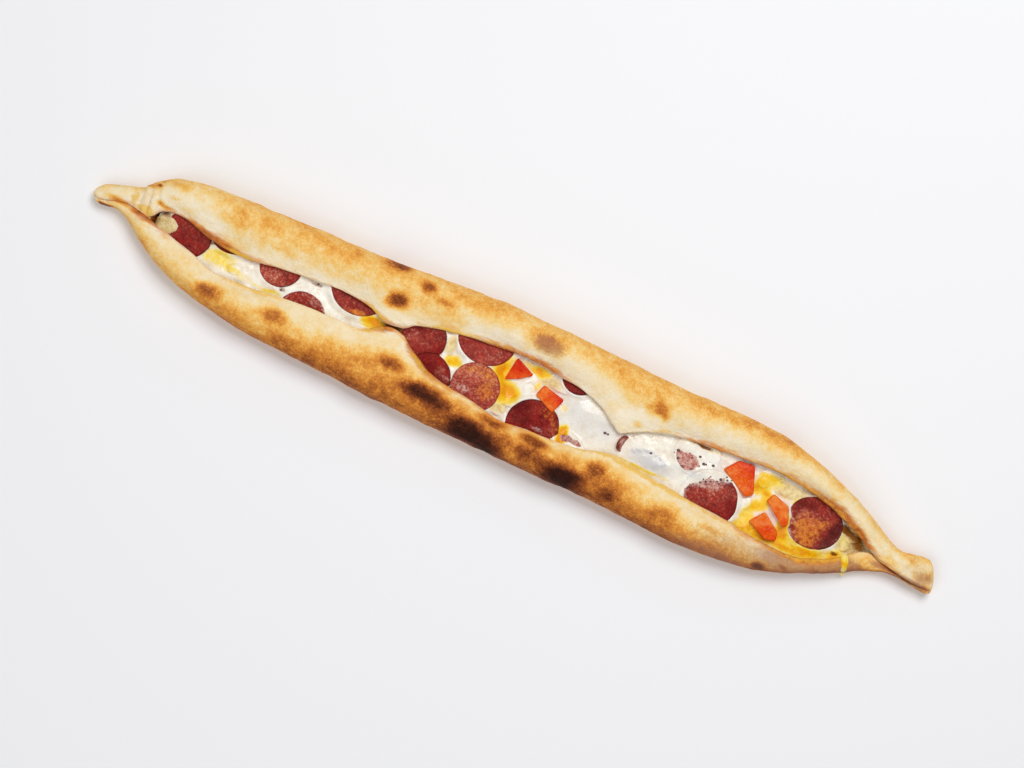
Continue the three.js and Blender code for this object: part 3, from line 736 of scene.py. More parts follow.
def dough_points(x):
    """The dough's section at each x as one closed loop, drawn in to the tips by a quarter circle, and shifted
    along x in proportion to its place across near the right tip, which is cut aslant."""
    outer_up, inner_up, bottom_up, low = half(UPPER, x)
    outer_down, inner_down, bottom_down, _ = half(LOWER, x)
    middle = (UPPER.edge(x) - LOWER.edge(x)) / 2
    between = (UPPER.lip(x) - LOWER.lip(x)) / 2
    start = np.stack([middle, low], axis=1)[:, None]
    deepest = np.stack([mix(between, middle, hollowness(x)), (bottom_up + bottom_down) / 2], axis=1)[:, None]
    parts = [start, outer_up, inner_up, deepest, inner_down[:, ::-1], outer_down[:, ::-1]]
    section, place = round_loop(np.concatenate(parts, axis=1), SPANS + SPANS[::-1])
    centre = np.where((x < 0)[:, None], LEFT_TIP_CENTRE, RIGHT_TIP_CENTRE)
    section = centre[:, None] + (section - centre[:, None]) * fullness(x)[:, None, None]
    section[:, :, 1] = np.maximum(section[:, :, 1], 0)
    slant = SLANT * ease(x, SLANT_FROM, RIGHT_TIP)
    along = x[:, None] - slant[:, None] * section[:, :, 0]
    return np.concatenate([along[:, :, None], section], axis=2), place


def across_fold(x, y):
    """Where a point lies across its fold: 0 at the lip's edge, 1 at the outer edge, for each side."""
    up = (y - UPPER.lip(x)) / (UPPER.edge(x) - UPPER.lip(x))
    down = (-y - LOWER.lip(x)) / (LOWER.edge(x) - LOWER.lip(x))
    return up, down


def make_dough():
    """The dough as a grid: sections along x, with relief pushed out along the normals. Its toasting rises
    from lip to edge, and darker places are added to it. Its lips are stained by exp(-d**2) of the distance
    from the lip's edge."""
    x = stations(STEP)
    points, place = dough_points(x)
    on_top = np.minimum(place, 2 * len(SPANS) - place) <= LIP_TURN
    outside = on_top | (hollowness(x)[:, None] < 0.2)
    px, py, pz = points.transpose(2, 0, 1)
    # 0 on the underside and in the hollow, 1 on the sides and the top
    above = ease(pz, 1.5, 6) * outside
    relief = sum(height * noise(px, py, pz, size, seed) for height, size, seed in RELIEF)
    relief = relief + BLISTER * np.clip(spots(px, py, SCORCHED), 0, 1) * above
    relief = relief - spots(px, py, CREASES) * above
    calm = fullness(x)[:, None] * above
    points = points + normals(points) * (relief * calm)[:, :, None]
    points[:, :, 2] += pleat(px, py) * above * (py > -2)
    px, py, pz = points.transpose(2, 0, 1)

    up, down = across_fold(px, py)
    folded = py > (UPPER.lip(px) - LOWER.lip(px)) / 2
    across = np.where(folded, up, down)
    pale = np.where(folded, UPPER_PALE(px), LOWER_PALE(px))
    most = np.where(folded, UPPER_TOAST(px), LOWER_TOAST(px))
    patch = layered(px, py, pz, 24, 21)
    upper = UPPER_BASE(px) + 0.09 * ease(up, 0.7, 1)
    # The lower fold is darker towards its outer edge and past x = 228: partly toasting, partly painted shade
    lower = 0.21 + mix(0.16, 0.34, ease(px, 90, 120)) * ease(down, 0.75, 1)
    lower = lower + 0.4 * ease(px, 228, 240) - 0.2 * ease(px, 244, 252)
    toast = np.where(folded, upper, lower) + most * ease(across, pale, pale + 0.55)
    toast = toast + 0.07 * patch + spots(px, py, TOAST_AND_SHADE)
    # The foot of the sides and the underside are evenly brown
    below = 1 - ease(pz, 2, 9)
    toast = mix(toast, 0.5 + 0.2 * patch, below * 0.8)
    scorch = spots(px, py, SCORCHED) + 0.5 * below * ease(layered(px, py, pz, 17, 31), 0.5, 1.0)
    # The hollow's wall is pale, but dark brown in the hole at its left end
    inside = 0.08 + 0.9 * (1 - ease(px, -224, -221))
    toast = np.where(outside, toast + 0.85 * scorch * ease(pz, 5, 13), inside)

    from_lip = np.where(folded, py - UPPER.lip(px), -py - LOWER.lip(px))
    oil = np.where(folded, UPPER_OIL(px), LOWER_OIL(px))
    egg = np.where(folded, UPPER_EGG(px), LOWER_EGG(px))
    wander = 0.8 * layered(px, py, 0, 8, 81)
    fields = {
        "toast": toast / MOST_TOAST,
        "stain": oil * np.exp(-(((from_lip - 0.4 + wander) / (1.3 + 2.5 * oil)) ** 2)) * above,
        "egg": (egg * np.exp(-(((from_lip - 1.2 + wander) / 2) ** 2)) + spots(px, py, YELLOWED)) * above,
        "dusk": spots(px, py, DULL_BROWN_AND_SHADE) * above,
        "flour": ease(0.5 - across, 0, 0.4) * 0.8 * outside,
    }
    return make_piece("dough_crust", points, dough_material(), ["dough"], fields)


# The filling

# Soft mounds and dips of the whole filling: x, y, half length, half width, height in mm
MOUNDS = [
    (-217.5, 1, 8, 6, 1.3), (-170, -7, 14, 6, 0.7), (-122, 2, 12, 4, 0.8), (-39, 7, 5, 7, 0.9),
    (-1, -13, 7, 5, 1.2), (8, 3, 8, 7, 0.8), (45, 1, 17, 12, 2.4), (92, -6, 16, 7, 1.6),
    (120, 9, 22, 6, 0.9), (156, 6, 9, 8, -0.7), (156, -11, 8, 8, -0.5), (213, -4, 9, 5, 0.8),
]
# How far the filling lies below the lower lip's underside
FILL_UNDER_LIP = 0.8


def fill_top(x, y):
    """The filling's height where it shows: a little under the lower lip's foot, with mounds, each
    exp(-r**2) of its own radius, and two small sine waves that run aslant."""
    top = np.minimum(UPPER.lip_height(x), LOWER.lip_height(x)) - LIP / 2 - FILL_UNDER_LIP
    for at_x, at_y, long, wide, high in MOUNDS:
        top = top + high * np.exp(-(((x - at_x) / long) ** 2) - ((y - at_y) / wide) ** 2)
    return top + 0.22 * np.sin(x / 3.1 + y / 5) + 0.18 * np.sin(y / 2.3 - x / 7)


# Sucuk slices: centre, size along x and y, tilt about x and about y in degrees, lift over the filling, and
# how light with fat and how dark the meat is
SLICES = [
    ((-204.5, 0.2), (28, 26), (1, 3), 0.2, 0.1, 0.3),
    ((-181, 10.6), (25, 22), (-5, 0), -0.7, 0.2, 0.5),
    ((-148.5, 5.8), (25, 24), (-4, -2), -0.3, 0.4, 0.1),
    ((-127, -15), (29, 27.5), (4, 2), -0.5, 0.5, 0.1),
    ((-101.8, 11.4), (33, 27.5), (-4, 2), -0.4, 0.25, 0.15),
    ((-19.8, -10.5), (28.8, 28.6), (5, -2), 1.1, 0.65, 0.0),
    ((-24.5, 16.8), (34, 29), (-5, 2), 0.4, 0.34, 0.1),
    ((-47.2, -17), (28, 29), (5, 4), 0.5, 0.1, 0.3),
    ((-57.6, 2.6), (26.4, 26), (2, -3), 0, 0.24, 0.15),
    ((18.7, -17), (31.2, 31), (5, 2), 0.5, 0.05, 0.3),
    ((32.5, 19.4), (21, 20), (-4, 0), -0.3, 0.1, 0.6),
    ((42, -23), (22, 21), (3, 0), -0.6, 0.5, 0.1),
    ((69.6, -4.4), (14, 10), (6, 66), -1.2, 0.6, 0.2),
    ((111, 8.2), (25, 24.5), (-2, 2), -0.9, 0.7, 0.0),
    ((127.5, -13), (32.6, 33), (3, 1), 0.5, 0.1, 0.15),
    ((187.9, 0), (33.4, 29.6), (2, 3), 0.9, 0.3, 0.1),
]
# Where egg lies over a slice, it stays bare only in these places: x, y, half length, half width, strength.
# Slices are counted from 0 here.
BARE = {
    3: [(-128, -9.5, 12.5, 9.5, 1.3)],
    11: [(38.5, -15.5, 3.4, 1.8, 1), (45, -16, 3, 1.3, 1)],
    13: [(106, 1.7, 7, 4.2, 1.0)],
    14: [(131.5, -13, 17, 9.4, 1.4), (138, -4, 6, 5.4, 1.0)],
    15: [(191, 0, 14, 17, 1.6), (181, 8, 13, 7, 1.4)],
}
# Places on the slices that are fatty, oily, dark or veiled. Some are painted highlights: the fat spot at
# (-65, -0.5) paints a pale glint on a slice, and the veils at (-64, 2), (69, -4) and (187, -1) paint a grey
# sheen and white highlights
FAT_AND_HIGHLIGHTS = [
    (-21, -2, 13, 5, 0.45), (-65, -0.5, 4, 3.5, 0.6), (-41, -11, 3, 3, 0.7), (-36, -13, 2, 2, 0.6),
    (130, -4, 14, 5, 0.5), (128, -11, 13, 5, 0.25), (-150, -2, 8, 3, 0.3), (-24, 8, 12, 3, 0.2),
    (31, -12, 2.4, 6, 0.4), (184, 0, 8, 6, 0.4), (-58, 0, 6, 4, 0.2),
]
ORANGE = [
    (-102, -1, 10, 2, 0.5), (-95, -0.4, 6, 2.4, 0.8), (186, -4, 10, 9, 0.95), (194, 2, 5, 4, 0.4),
    (24, -7, 7, 4, 0.6), (31, -13, 3, 6, 0.5), (-14, -12, 6, 6, 0.5), (-29, -3, 5, 4, 0.5),
    (188, -12, 6, 3, 0.6), (-20, 0, 9, 4, 0.5), (-13, -6, 8, 8, 0.5),
]
# The dark spot at (-30, 15) is painted shade where the upper lip overhangs a slice; the others are the meat's
# own
DARK = [
    (202, 2, 4, 8, 0.9), (198, -9, 4, 6, 0.7), (181, 8, 8, 4, 0.5), (176, 2, 3, 6, 0.4),
    (8, -10, 6, 6, 0.4), (15, -17, 8, 3, 0.3), (-45, -13, 12, 5, 0.3), (-30, 15, 9, 3, 0.2),
    (141, -14, 4, 6, 0.3), (-49, 8, 4, 5, 0.3),
]
VEIL_AND_SHEEN = [
    (-121, -5, 5, 3, 0.45), (-130, -2.6, 9, 1.2, 0.5), (-64, 2, 4, 5, 0.4), (123, -2.5, 11, 4.4, 0.7),
    (117, -6, 4, 5, 0.45), (-37, -13, 3, 2, 0.5), (-150, 0, 7, 3, 0.35), (105, 2, 12, 8, 0.68),
    (22, -17.5, 3, 1.4, 0.7), (-26, -14, 9, 3, 0.3), (187, -1, 3, 2, 0.4), (-22, -2, 10, 3, 0.25),
    (42, -15, 9, 4, 0.75), (69, -4, 3, 6, 0.6), (-27, -13, 7, 4, 0.35), (127, -9, 12, 5, 0.28),
    (-130, -8, 9, 4, 0.3),
]
SLICE_THICKNESS = 2.4
# How much higher a slice's rim is than its middle
SLICE_CUP = 0.7
SLICE_CORNER = 0.55
# A slice that is tilted further about y stands on edge, and the filling isn't shaped to it
MOST_TILT = 45
# The slice at the left end, which the first of the lumps covers in part
LEFT_SLICE = 0
# The slices with the foam's holes on them
FOAM_SLICES = (13, 14)


def tilt_matrix(degrees_x, degrees_y):
    """A turn about x followed by a turn about y."""
    a, b = np.radians([degrees_x, degrees_y])
    about_x = np.array([[1, 0, 0], [0, np.cos(a), -np.sin(a)], [0, np.sin(a), np.cos(a)]])
    about_y = np.array([[np.cos(b), 0, np.sin(b)], [0, 1, 0], [-np.sin(b), 0, np.cos(b)]])
    return about_y @ about_x


# Where the filling is yellow with yolk, thick with melted cheese, and brown
YOLK = [
    (-183, -4.6, 13, 8, 0.44), (-3, -14, 5, 3, 0.1), (-167, -9, 9, 3.4, 0.28), (-150, -9.8, 9, 1.8, 0.42),
    (-118, -8, 10, 1.4, 0.3), (-89, -2, 6, 4.5, 0.62), (-82, 0, 6, 3, 0.5), (-37, -2, 6, 4, 0.62),
    (-9, 8, 6, 10, 0.55), (-3, -6, 8, 7, 0.68), (-12, 3, 6, 6, 0.3), (1, -2, 5, 5, 0.2), (3, 14, 7, 3, 0.4),
    (12, 13, 6, 3, 0.62), (12, 5, 4, 4, 0.4), (35.4, -15, 3.4, 6, 0.95), (31, 0, 3, 5, 0.34),
    (84, -13, 22, 1.4, 0.45), (110, 13, 26, 1.2, 0.3), (151, -12, 6, 7, 0.5), (152, 8, 6, 7, 0.55),
    (160, 14, 8, 2.6, 0.26), (156, -4, 7, 4, 0.5), (178, -17, 18, 5, 0.5), (156, -20, 14, 4, 0.5),
    (182, -21, 18, 2.6, 0.28), (173, -12, 4, 6, 0.24), (190, -17, 6, 2.6, 0.26), (160, 11, 5, 4, 0.24),
    (200, -15, 9, 5, 0.34), (174, 6, 4, 4, 0.5), (208, -12, 5, 4, 0.5), (173, -7, 5, 7, 0.5),
    (209, -3, 9, 6, 0.3), (146, 13, 10, 2, 0.1), (158, 2, 4, 4, 0.5), (150, 3, 4, 3, 0.25),
]
CHEESE = [
    (-218, 0, 8, 7, 1.0), (-42, 6, 5, 7, 0.9), (-4, -15, 8, 4, 0.9), (18, 10, 9, 4, 0.95),
    (166, 10, 10, 5, 1.0), (213, -2, 10, 10, 1.2), (-166, -3, 9, 2, 0.3), (148, 0, 8, 4, 0.4),
    (-125, 5, 8, 2, 0.3), (186, 12, 18, 5, 0.6),
]
# Brown is browned cheese, and painted shade: a thin line under the upper lip, darkest at its right end, the
# slit at the first pinch, the gap between the two left slices, round the crumbs near x = -4 and between the
# left lump and the upper lip
BROWN_AND_SHADE = [
    (-143, -6, 3, 1.6, 0.7), (-126, 5.4, 5, 1.2, 0.8), (206, -11, 2.6, 1.6, 1), (205, 4.2, 6, 2.6, 1.1),
    (213, 2.6, 6, 2.2, 0.8), (218, -1, 4, 2.4, 0.4), (214, -3.4, 6, 5, 0.5), (160, 14.4, 7, 1.6, 0.5),
    (-190, -1, 3, 3, 0.3), (-9.4, -14.6, 1.6, 3, 0.6), (0.4, -12.4, 3.4, 1.1, 0.6), (1.6, -15, 1.2, 3, 0.4),
    (-221, 6.6, 5, 2.2, 0.6), (20, 10, 8, 3, 0.38), (-218, 0.6, 7, 6, 0.52), (-74, 1, 6, 1.8, 1.4),
    (218, 0, 6, 4, 0.3), (2, 16, 12, 1.2, 0.4), (-192, 1.6, 5, 1.4, 0.7), (-79, 0, 8, 2, 0.5),
    (112, 13.4, 7, 1.1, 1.2), (74, 1, 2.5, 1.2, 0.6), (-223, 0, 2, 4, 0.4), (168, 12, 12, 2, 0.3),
]
# Thin, greyish egg white, and the rim of a slice that shows through it
THIN = [
    (44, 0, 18, 11, 0.45), (90, -8, 14, 5, 1), (77, -6, 2, 1, 0.9), (80, -4, 2.4, 1, 0.9),
    (84, -2.4, 3, 0.9, 0.9), (88, -1.8, 3, 0.9, 0.9), (92, -2.8, 3, 0.9, 0.9), (96, -5.4, 2, 1.4, 0.9),
    (112, -3, 9, 3, 0.6), (126, 6, 10, 3, 0.3), (60, 0, 6, 6, 0.3),
]
# Lumps of cheese and curled egg: x, y, half length, half width, height in mm
LUMPS = [
    (-217.8, 0.3, 6.8, 5.8, 3.3), (-42.5, 6, 4.4, 6.5, 1.9), (-7, -15.5, 4, 3, 1.9),
    (0, -14.5, 3.4, 3, 2.2), (-3, -18, 4, 2, 1.8), (8.6, 1.6, 4.4, 3.6, 1.6), (24, 9, 7, 2.4, 1.2),
    (167, 9.5, 6, 3, 1.6), (174, 9, 3, 3, 1.4), (209, -5, 3.4, 3.2, 1.7), (212, 1.5, 4, 3, 1.2),
    (205, -10, 2.6, 2, 1.4), (152, 9, 3.5, 3.5, 1.0), (148, -6, 3, 4, 1), (-95, -3, 5, 2, 0.8),
    (-172, -7, 4, 3, 1),
]
# Where egg white lies calm and smooth
CALM = [(46, 0, 22, 14, 1)]
# The hole at the left end: its middle, half length and half width, and depth
HOLE_MIDDLE = (-225.6, 0.6)
HOLE_SIZE = (2.6, 2.3)
HOLE_DEPTH = 7
# How deep the filling dips under a slice's face, and the egg's height over it where bare and where covered
BED = 0.8 * SLICE_THICKNESS
COVER = (-1.6, 0.55)
FACE_COLUMNS = 88
FILLING_STEP = 0.75
FILLING_ENDS = (-224, 226)
# The gap to the hollow's wall, and how much further the filling's underside is lowered
FILLING_GAP = 0.25
FILLING_SINK = 0.2


def slice_height(index, x, y):
    """The height of a slice's upper face over (x, y), which is its tilted plane plus the cup times the
    radius squared, and that radius, 1 at the rim."""
    (at_x, at_y), (long, wide), tilt, lift, *_ = SLICES[index]
    normal = tilt_matrix(*tilt)[:, 2]
    height = fill_top(at_x, at_y) + lift - (normal[0] * (x - at_x) + normal[1] * (y - at_y)) / normal[2]
    radius = np.hypot((x - at_x) / (long / 2), (y - at_y) / (wide / 2))
    return height + SLICE_CUP * radius**2 + SLICE_THICKNESS / 2, radius


def lump_radius(x, y, at_x, at_y, long, wide):
    """How far out a point is on a lump, 1 at its rim, which noise makes uneven."""
    return np.hypot((x - at_x) / long, (y - at_y) / wide) + 0.12 * layered(x, y, 3, 4, 48)


def filling_height(x, y):
    """The filling's face: its mounds and lumps, raised in a soft rim round each slice, dipped under it, laid
    over it where egg covers it, and fallen away in the hole at the left end."""
    x, y = np.broadcast_arrays(x, y)
    restless = 1 - 0.75 * np.clip(spots(x, y, CALM), 0, 1)
    rough = restless * (0.34 * layered(x, y, 0, 7, 41) + 0.17 * noise(x, y, 0, 2.2, 45))
    top = fill_top(x, y) + rough
    flat = [index for index, piece in enumerate(SLICES) if abs(piece[2][1]) < MOST_TILT]
    faces = {index: slice_height(index, x, y) for index in flat}
    for height, radius in faces.values():
        rim = height - 0.35 + 0.45 * layered(x, y, 9, 6, 47)
        top = np.maximum(top, mix(top, rim, 1 - ease(radius, 0.97, 1.3)))
    for at_x, at_y, long, wide, high in LUMPS:
        radius = lump_radius(x, y, at_x, at_y, long, wide)
        dome = fill_top(at_x, at_y) + high * np.sqrt(np.maximum(0, 1 - radius**4)) - 0.2
        top = np.where(radius < 1, np.maximum(top, dome), top)
    for index, (height, radius) in faces.items():
        if index != LEFT_SLICE:
            top = mix(top, np.minimum(top, height - BED), 1 - ease(radius, 0.94, 1.0))
    for index, bare in BARE.items():
        height, radius = faces[index]
        cover = 1 - np.clip(spots(x, y, bare), 0, 1)
        egg = height + mix(*COVER, cover) + rough
        top = np.where(radius < 1.05, np.maximum(top, egg), top)
    height, radius = faces[LEFT_SLICE]
    lump = lump_radius(x, y, *LUMPS[0][:4])
    top = np.where((radius < 1) & (lump > 1), np.minimum(top, height - BED), top)
    out = np.hypot((x - HOLE_MIDDLE[0]) / HOLE_SIZE[0], (y - HOLE_MIDDLE[1]) / HOLE_SIZE[1])
    return top - HOLE_DEPTH * (1 - ease(out, 0.8, 1.15)) * (lump > 1)


def make_filling(material):
    """The filling as closed loops along x: the hollow's outline, drawn in by the gap, with the face on top,
    and each end closed to a point. Its colours are the sums of spots."""
    count = int((FILLING_ENDS[1] - FILLING_ENDS[0]) / FILLING_STEP)
    x = np.linspace(*FILLING_ENDS, count)
    _, inner_up, bottom_up, _ = half(UPPER, x)
    _, inner_down, bottom_down, _ = half(LOWER, x)
    middle = np.stack([(UPPER.edge(x) - LOWER.edge(x)) / 2, (bottom_up + bottom_down) / 2], axis=1)[:, None]
    share = np.linspace(0, 1, FACE_COLUMNS)[None, :]
    across = mix(inner_up[:, :1, 0], inner_down[:, :1, 0], share)
    face = np.stack([across, filling_height(x[:, None], across)], axis=2)
    loop = np.concatenate([middle, inner_up[:, :0:-1], face, inner_down[:, 1:]], axis=1)
    centre = loop.mean(axis=1, keepdims=True)
    face_from = inner_up.shape[1]
    hidden = np.r_[0:face_from, face_from + FACE_COLUMNS:loop.shape[1]]
    loop[:, hidden] -= FILLING_GAP * np.sign(loop[:, hidden] - centre)
    loop[:, hidden, 1] -= FILLING_SINK
    points = np.concatenate([np.broadcast_to(x[:, None, None], loop.shape[:2] + (1,)), loop], axis=2)
    ends = [np.broadcast_to(points[i].mean(axis=0), points[i].shape)[None] for i in (0, -1)]
    points = np.concatenate([ends[0], points, ends[1]])
    px, py, _ = points.transpose(2, 0, 1)
    patches = {"yolk": YOLK, "cheese": CHEESE, "brown": BROWN_AND_SHADE, "thin": THIN}
    fields = {name: spots(px, py, places) for name, places in patches.items()}
    return make_piece("melted_filling", points, material, ["cheese_and_egg"], fields)


# Sucuk and tomato

# Points round a slice, steps round the side of a slice or a tomato piece, and rings on the faces of both
ROUND = 96
RIM_STEPS = 9
SLICE_RINGS = 15
TOMATO_RINGS = 9


def laid(x, y, z, middle, tilt, lift):
    """A piece's own points, tilted about its middle and laid on the filling there, higher by its lift."""
    points = np.stack([x, y, z], axis=2) @ tilt_matrix(*tilt).T
    return points + np.array([*middle, fill_top(*middle) + lift])


def make_slice(index, material):
    """A slice: rings from the middle of its underside, round its soft rim, to the middle of its top, cupped
    towards the rim by its radius squared, with an uneven outline and small relief."""
    middle, (long, wide), tilt, lift, light, dark = SLICES[index]
    thick = SLICE_THICKNESS / 2
    bend = np.linspace(-np.pi / 2, np.pi / 2, RIM_STEPS)
    inner = 1 - SLICE_CORNER / (long / 2)
    radius = np.r_[0, 0.45, 0.8, inner + (1 - inner) * np.cos(bend), np.linspace(0.93, 0, SLICE_RINGS)]
    height = np.r_[-thick, -thick, -thick, thick * np.sin(bend), np.full(SLICE_RINGS, thick)]
    turn = np.linspace(0, 2 * np.pi, ROUND, endpoint=False)
    r, t = np.meshgrid(radius, turn, indexing="ij")
    h = np.broadcast_to(height[:, None], r.shape)
    uneven = 1 + 0.028 * layered(2 * np.cos(t), 2 * np.sin(t), index, 1.3, 55)
    x = r * uneven * np.cos(t) * long / 2
    y = r * uneven * np.sin(t) * wide / 2
    top = ease(h, 0, thick)
    z = h + SLICE_CUP * r**2 + top * (0.14 * noise(x, y, index, 1.7, 51) + 0.08 * noise(x, y, index, 0.9, 52))
    z = z + 0.2 * noise(x, y, index, 9, 53)
    points = laid(x, y, z, middle, tilt, lift)
    px, py, _ = points.transpose(2, 0, 1)
    lumps = layered(px, py, 5 * index, 9, 54)
    # Egg film, and painted sheen and highlights where the veils say so
    veil_and_sheen = spots(px, py, VEIL_AND_SHEEN)
    if index in BARE:
        veil_and_sheen = np.maximum(veil_and_sheen, 1 - np.clip(spots(px, py, BARE[index]), 0, 1))
    fields = {
        "light": light + 0.25 * lumps + spots(px, py, FAT_AND_HIGHLIGHTS),
        "orange": spots(px, py, ORANGE),
        "dark": dark * (0.7 + 0.5 * lumps) + 0.45 * ease(r, 0.9, 1.0) + spots(px, py, DARK),
        "film": veil_and_sheen,
    }
    name = f"sucuk_slice_{index + 1:02d}"
    return make_piece(name, points, material, [f"sucuk_{index + 1:02d}"], fields)


# Tomato pieces: corners seen from above, thickness, tilt about x and y in degrees, lift over the filling, how
# red, and the way across the piece to its redder skin side
TOMATOES = [
    ([(-4.6, 15.2), (-6.6, 0.6), (1.4, 4.4), (8, 9.6)],
     4.4, (4, -4), 0.9, 0.7, (-0.2, 0.8)),
    ([(15.4, 7.2), (13.2, 0), (26, -5.8), (29.6, 4)],
     4.6, (-3, 3), 1.9, 0.45, (0.6, 0.6)),
    ([(127.6, 6.4), (145.6, -3.2), (149.6, 0), (143.6, 15.6), (134, 14.6)],
     4.2, (-4, 3), 0.9, 0.45, (0.4, 0.8)),
    ([(157.6, 0.4), (172.8, -10), (174.6, -7), (171, 2.4), (160, 5.8)],
     5, (5, -6), 1.8, 0.08, (-0.3, -0.9)),
    ([(153, -14.4), (166, -20.4), (172, -18.6), (171, -13.4), (159.6, -5.6)],
     4.4, (-2, 3), 1.2, 0.4, (0.4, -0.9)),
]
TOMATO_CORNER = 1.6
CORNER_STEPS = 6
SIDE_STEPS = 8


def soft_outline(corners, radius):
    """A polygon with rounded corners: each corner is a curve between points one radius before and after it,
    (1 - t)**2 a + 2t(1 - t) corner + t**2 b, and the sides between are cut into equal steps."""
    corners = np.array(corners, float)
    outline = []
    ways = np.roll(corners, -1, axis=0) - corners
    lengths = np.linalg.norm(ways, axis=1)
    reach = np.minimum(radius, 0.4 * np.minimum(lengths, np.roll(lengths, 1)))
    ways = ways / lengths[:, None]
    for k, corner in enumerate(corners):
        start = corner - ways[k - 1] * reach[k]
        end = corner + ways[k] * reach[k]
        following = (k + 1) % len(corners)
        goal = corners[following] - ways[k] * reach[following]
        t = np.linspace(0, 1, CORNER_STEPS)[:, None]
        outline.append((1 - t) ** 2 * start + 2 * t * (1 - t) * corner + t**2 * end)
        outline.append(mix(end, goal, np.linspace(0, 1, SIDE_STEPS, endpoint=False)[1:, None]))
    return np.concatenate(outline)


def make_tomato(index, material):
    """A piece of tomato: its soft outline as rings that shrink towards its middle over a rounded side."""
    corners, thick, tilt, lift, red, skin = TOMATOES[index]
    outline = soft_outline(corners, TOMATO_CORNER)
    middle = np.mean(corners, axis=0)
    bend = np.linspace(-np.pi / 2, np.pi / 2, RIM_STEPS)
    share = np.r_[0, 0.5, 0.9 + 0.1 * np.cos(bend), np.linspace(0.82, 0, TOMATO_RINGS)]
    height = np.r_[-1, -1, np.sin(bend), np.full(TOMATO_RINGS, 1.0)] * thick / 2
    flat = (outline - middle)[None] * share[:, None, None]
    x, y = flat.transpose(2, 0, 1)
    h = np.broadcast_to(height[:, None], x.shape)
    top = ease(h, 0, thick / 2)
    z = h + top * (0.3 * noise(x, y, 3 * index, 4, 61) + 0.15 * noise(x, y, 3 * index, 1.6, 62))
    points = laid(x, y, z, middle, tilt, lift)
    toward_skin = x * skin[0] + y * skin[1]
    toward_skin = toward_skin / np.abs(toward_skin).max()
    red = red + 0.45 * toward_skin + 0.1 * noise(x, y, index, 4, 63)
    name = f"tomato_piece_{index + 1:02d}"
    return make_piece(name, points, material, [f"tomato_{index + 1:02d}"], {"red": red})


# Pepper and foam holes: x, y, size in mm
SPECKS = [
    (100, 5.4, 0.9), (101.8, 1.2, 0.7), (105.5, -1.8, 0.5), (113, 7.2, 0.7), (116.6, 4.2, 0.9),
    (121.8, 5.6, 0.8), (118, 4.6, 0.5), (128.8, 0.4, 0.8), (131.4, 3, 0.5), (132.4, 1.4, 0.6),
    (134, -0.4, 0.5), (129, -2.4, 0.5), (124, -3, 0.6), (125.6, -2.4, 0.4), (121.6, -4.4, 0.6),
    (118.8, -6, 0.6), (136.8, -2.8, 0.5), (134.6, 2.4, 0.4), (86.6, -2.8, 0.7), (58.2, -3.2, 0.8),
    (60, -3.2, 0.6), (109, 4.6, 0.5), (103.4, 4, 0.4), (111, -1.2, 0.5), (119.8, -3.6, 0.45),
    (122.6, -5.6, 0.4), (127.4, -1.4, 0.45), (130.6, -4.6, 0.4), (133, -2.2, 0.45), (135.6, -5.6, 0.4),
    (138.2, -3.8, 0.45), (137.4, -8, 0.35), (133.4, -6.8, 0.35), (129.6, -7.4, 0.35), (106.8, 6.6, 0.4),
    (98.6, 3.4, 0.4), (123, -0.6, 0.4), (114.6, 2.2, 0.4), (127, -4.2, 0.4), (139.6, -5.4, 0.4),
    (-143, -6.4, 0.7), (-125, 5.4, 0.6),
]


def make_specks():
    """Each speck is a flattened ball, (1.25 cos b cos a, cos b sin a, 0.45 sin b) times its size, on the
    filling or on the slice that is higher there."""
    a, b = np.meshgrid(np.linspace(0, 2 * np.pi, 10, endpoint=False), np.linspace(-np.pi / 2, np.pi / 2, 7))
    ball = np.stack([1.25 * np.cos(b) * np.cos(a), np.cos(b) * np.sin(a), 0.45 * np.sin(b)], axis=2)
    points = []
    faces = []
    for count, (x, y, size) in enumerate(SPECKS):
        top = filling_height(np.array([x]), np.array([y]))[0]
        for index in FOAM_SLICES:
            height, radius = slice_height(index, x, y)
            top = max(top, height) if radius < 1 else top
        points.append(ball * size + np.array([x, y, top + 0.1 * size]))
        faces.append(grid_faces(*a.shape) + count * a.size)
    faces = np.concatenate(faces)
    return make_piece("pepper_specks", points, speck_material(), [], faces=faces)


# Egg that ran over the lower fold's lip: its path, and its half width at each point, in mm
DRIP_PATH = np.array([
    (211, -8.6), (212.2, -11.2), (213.3, -13.8), (214.2, -16.2), (215, -18.8), (215.8, -20.6),
])
DRIP_WIDTH = np.array([1.6, 2.2, 2, 1.6, 1.9, 1.4])
# How far its middle is above the crust, and its half thickness, in mm
DRIP_LIFT = 0.25
DRIP_THICKNESS = 0.85
# The section's points from the side to the lip
SIDE_TO_LIP = slice(3, 12)


def crust_height(x, y):
    """The lower fold's upper surface over points (x, y), given as flat lists: straight lines between its
    section's points from the side to the lip, as a sum of each line's rise times the share of it passed."""
    across, height = half(LOWER, x)[0][:, SIDE_TO_LIP].transpose(2, 0, 1)
    passed = np.clip((y[:, None] - across[:, :-1]) / np.diff(across), 0, 1)
    return height[:, 0] + (passed * np.diff(height)).sum(axis=1)


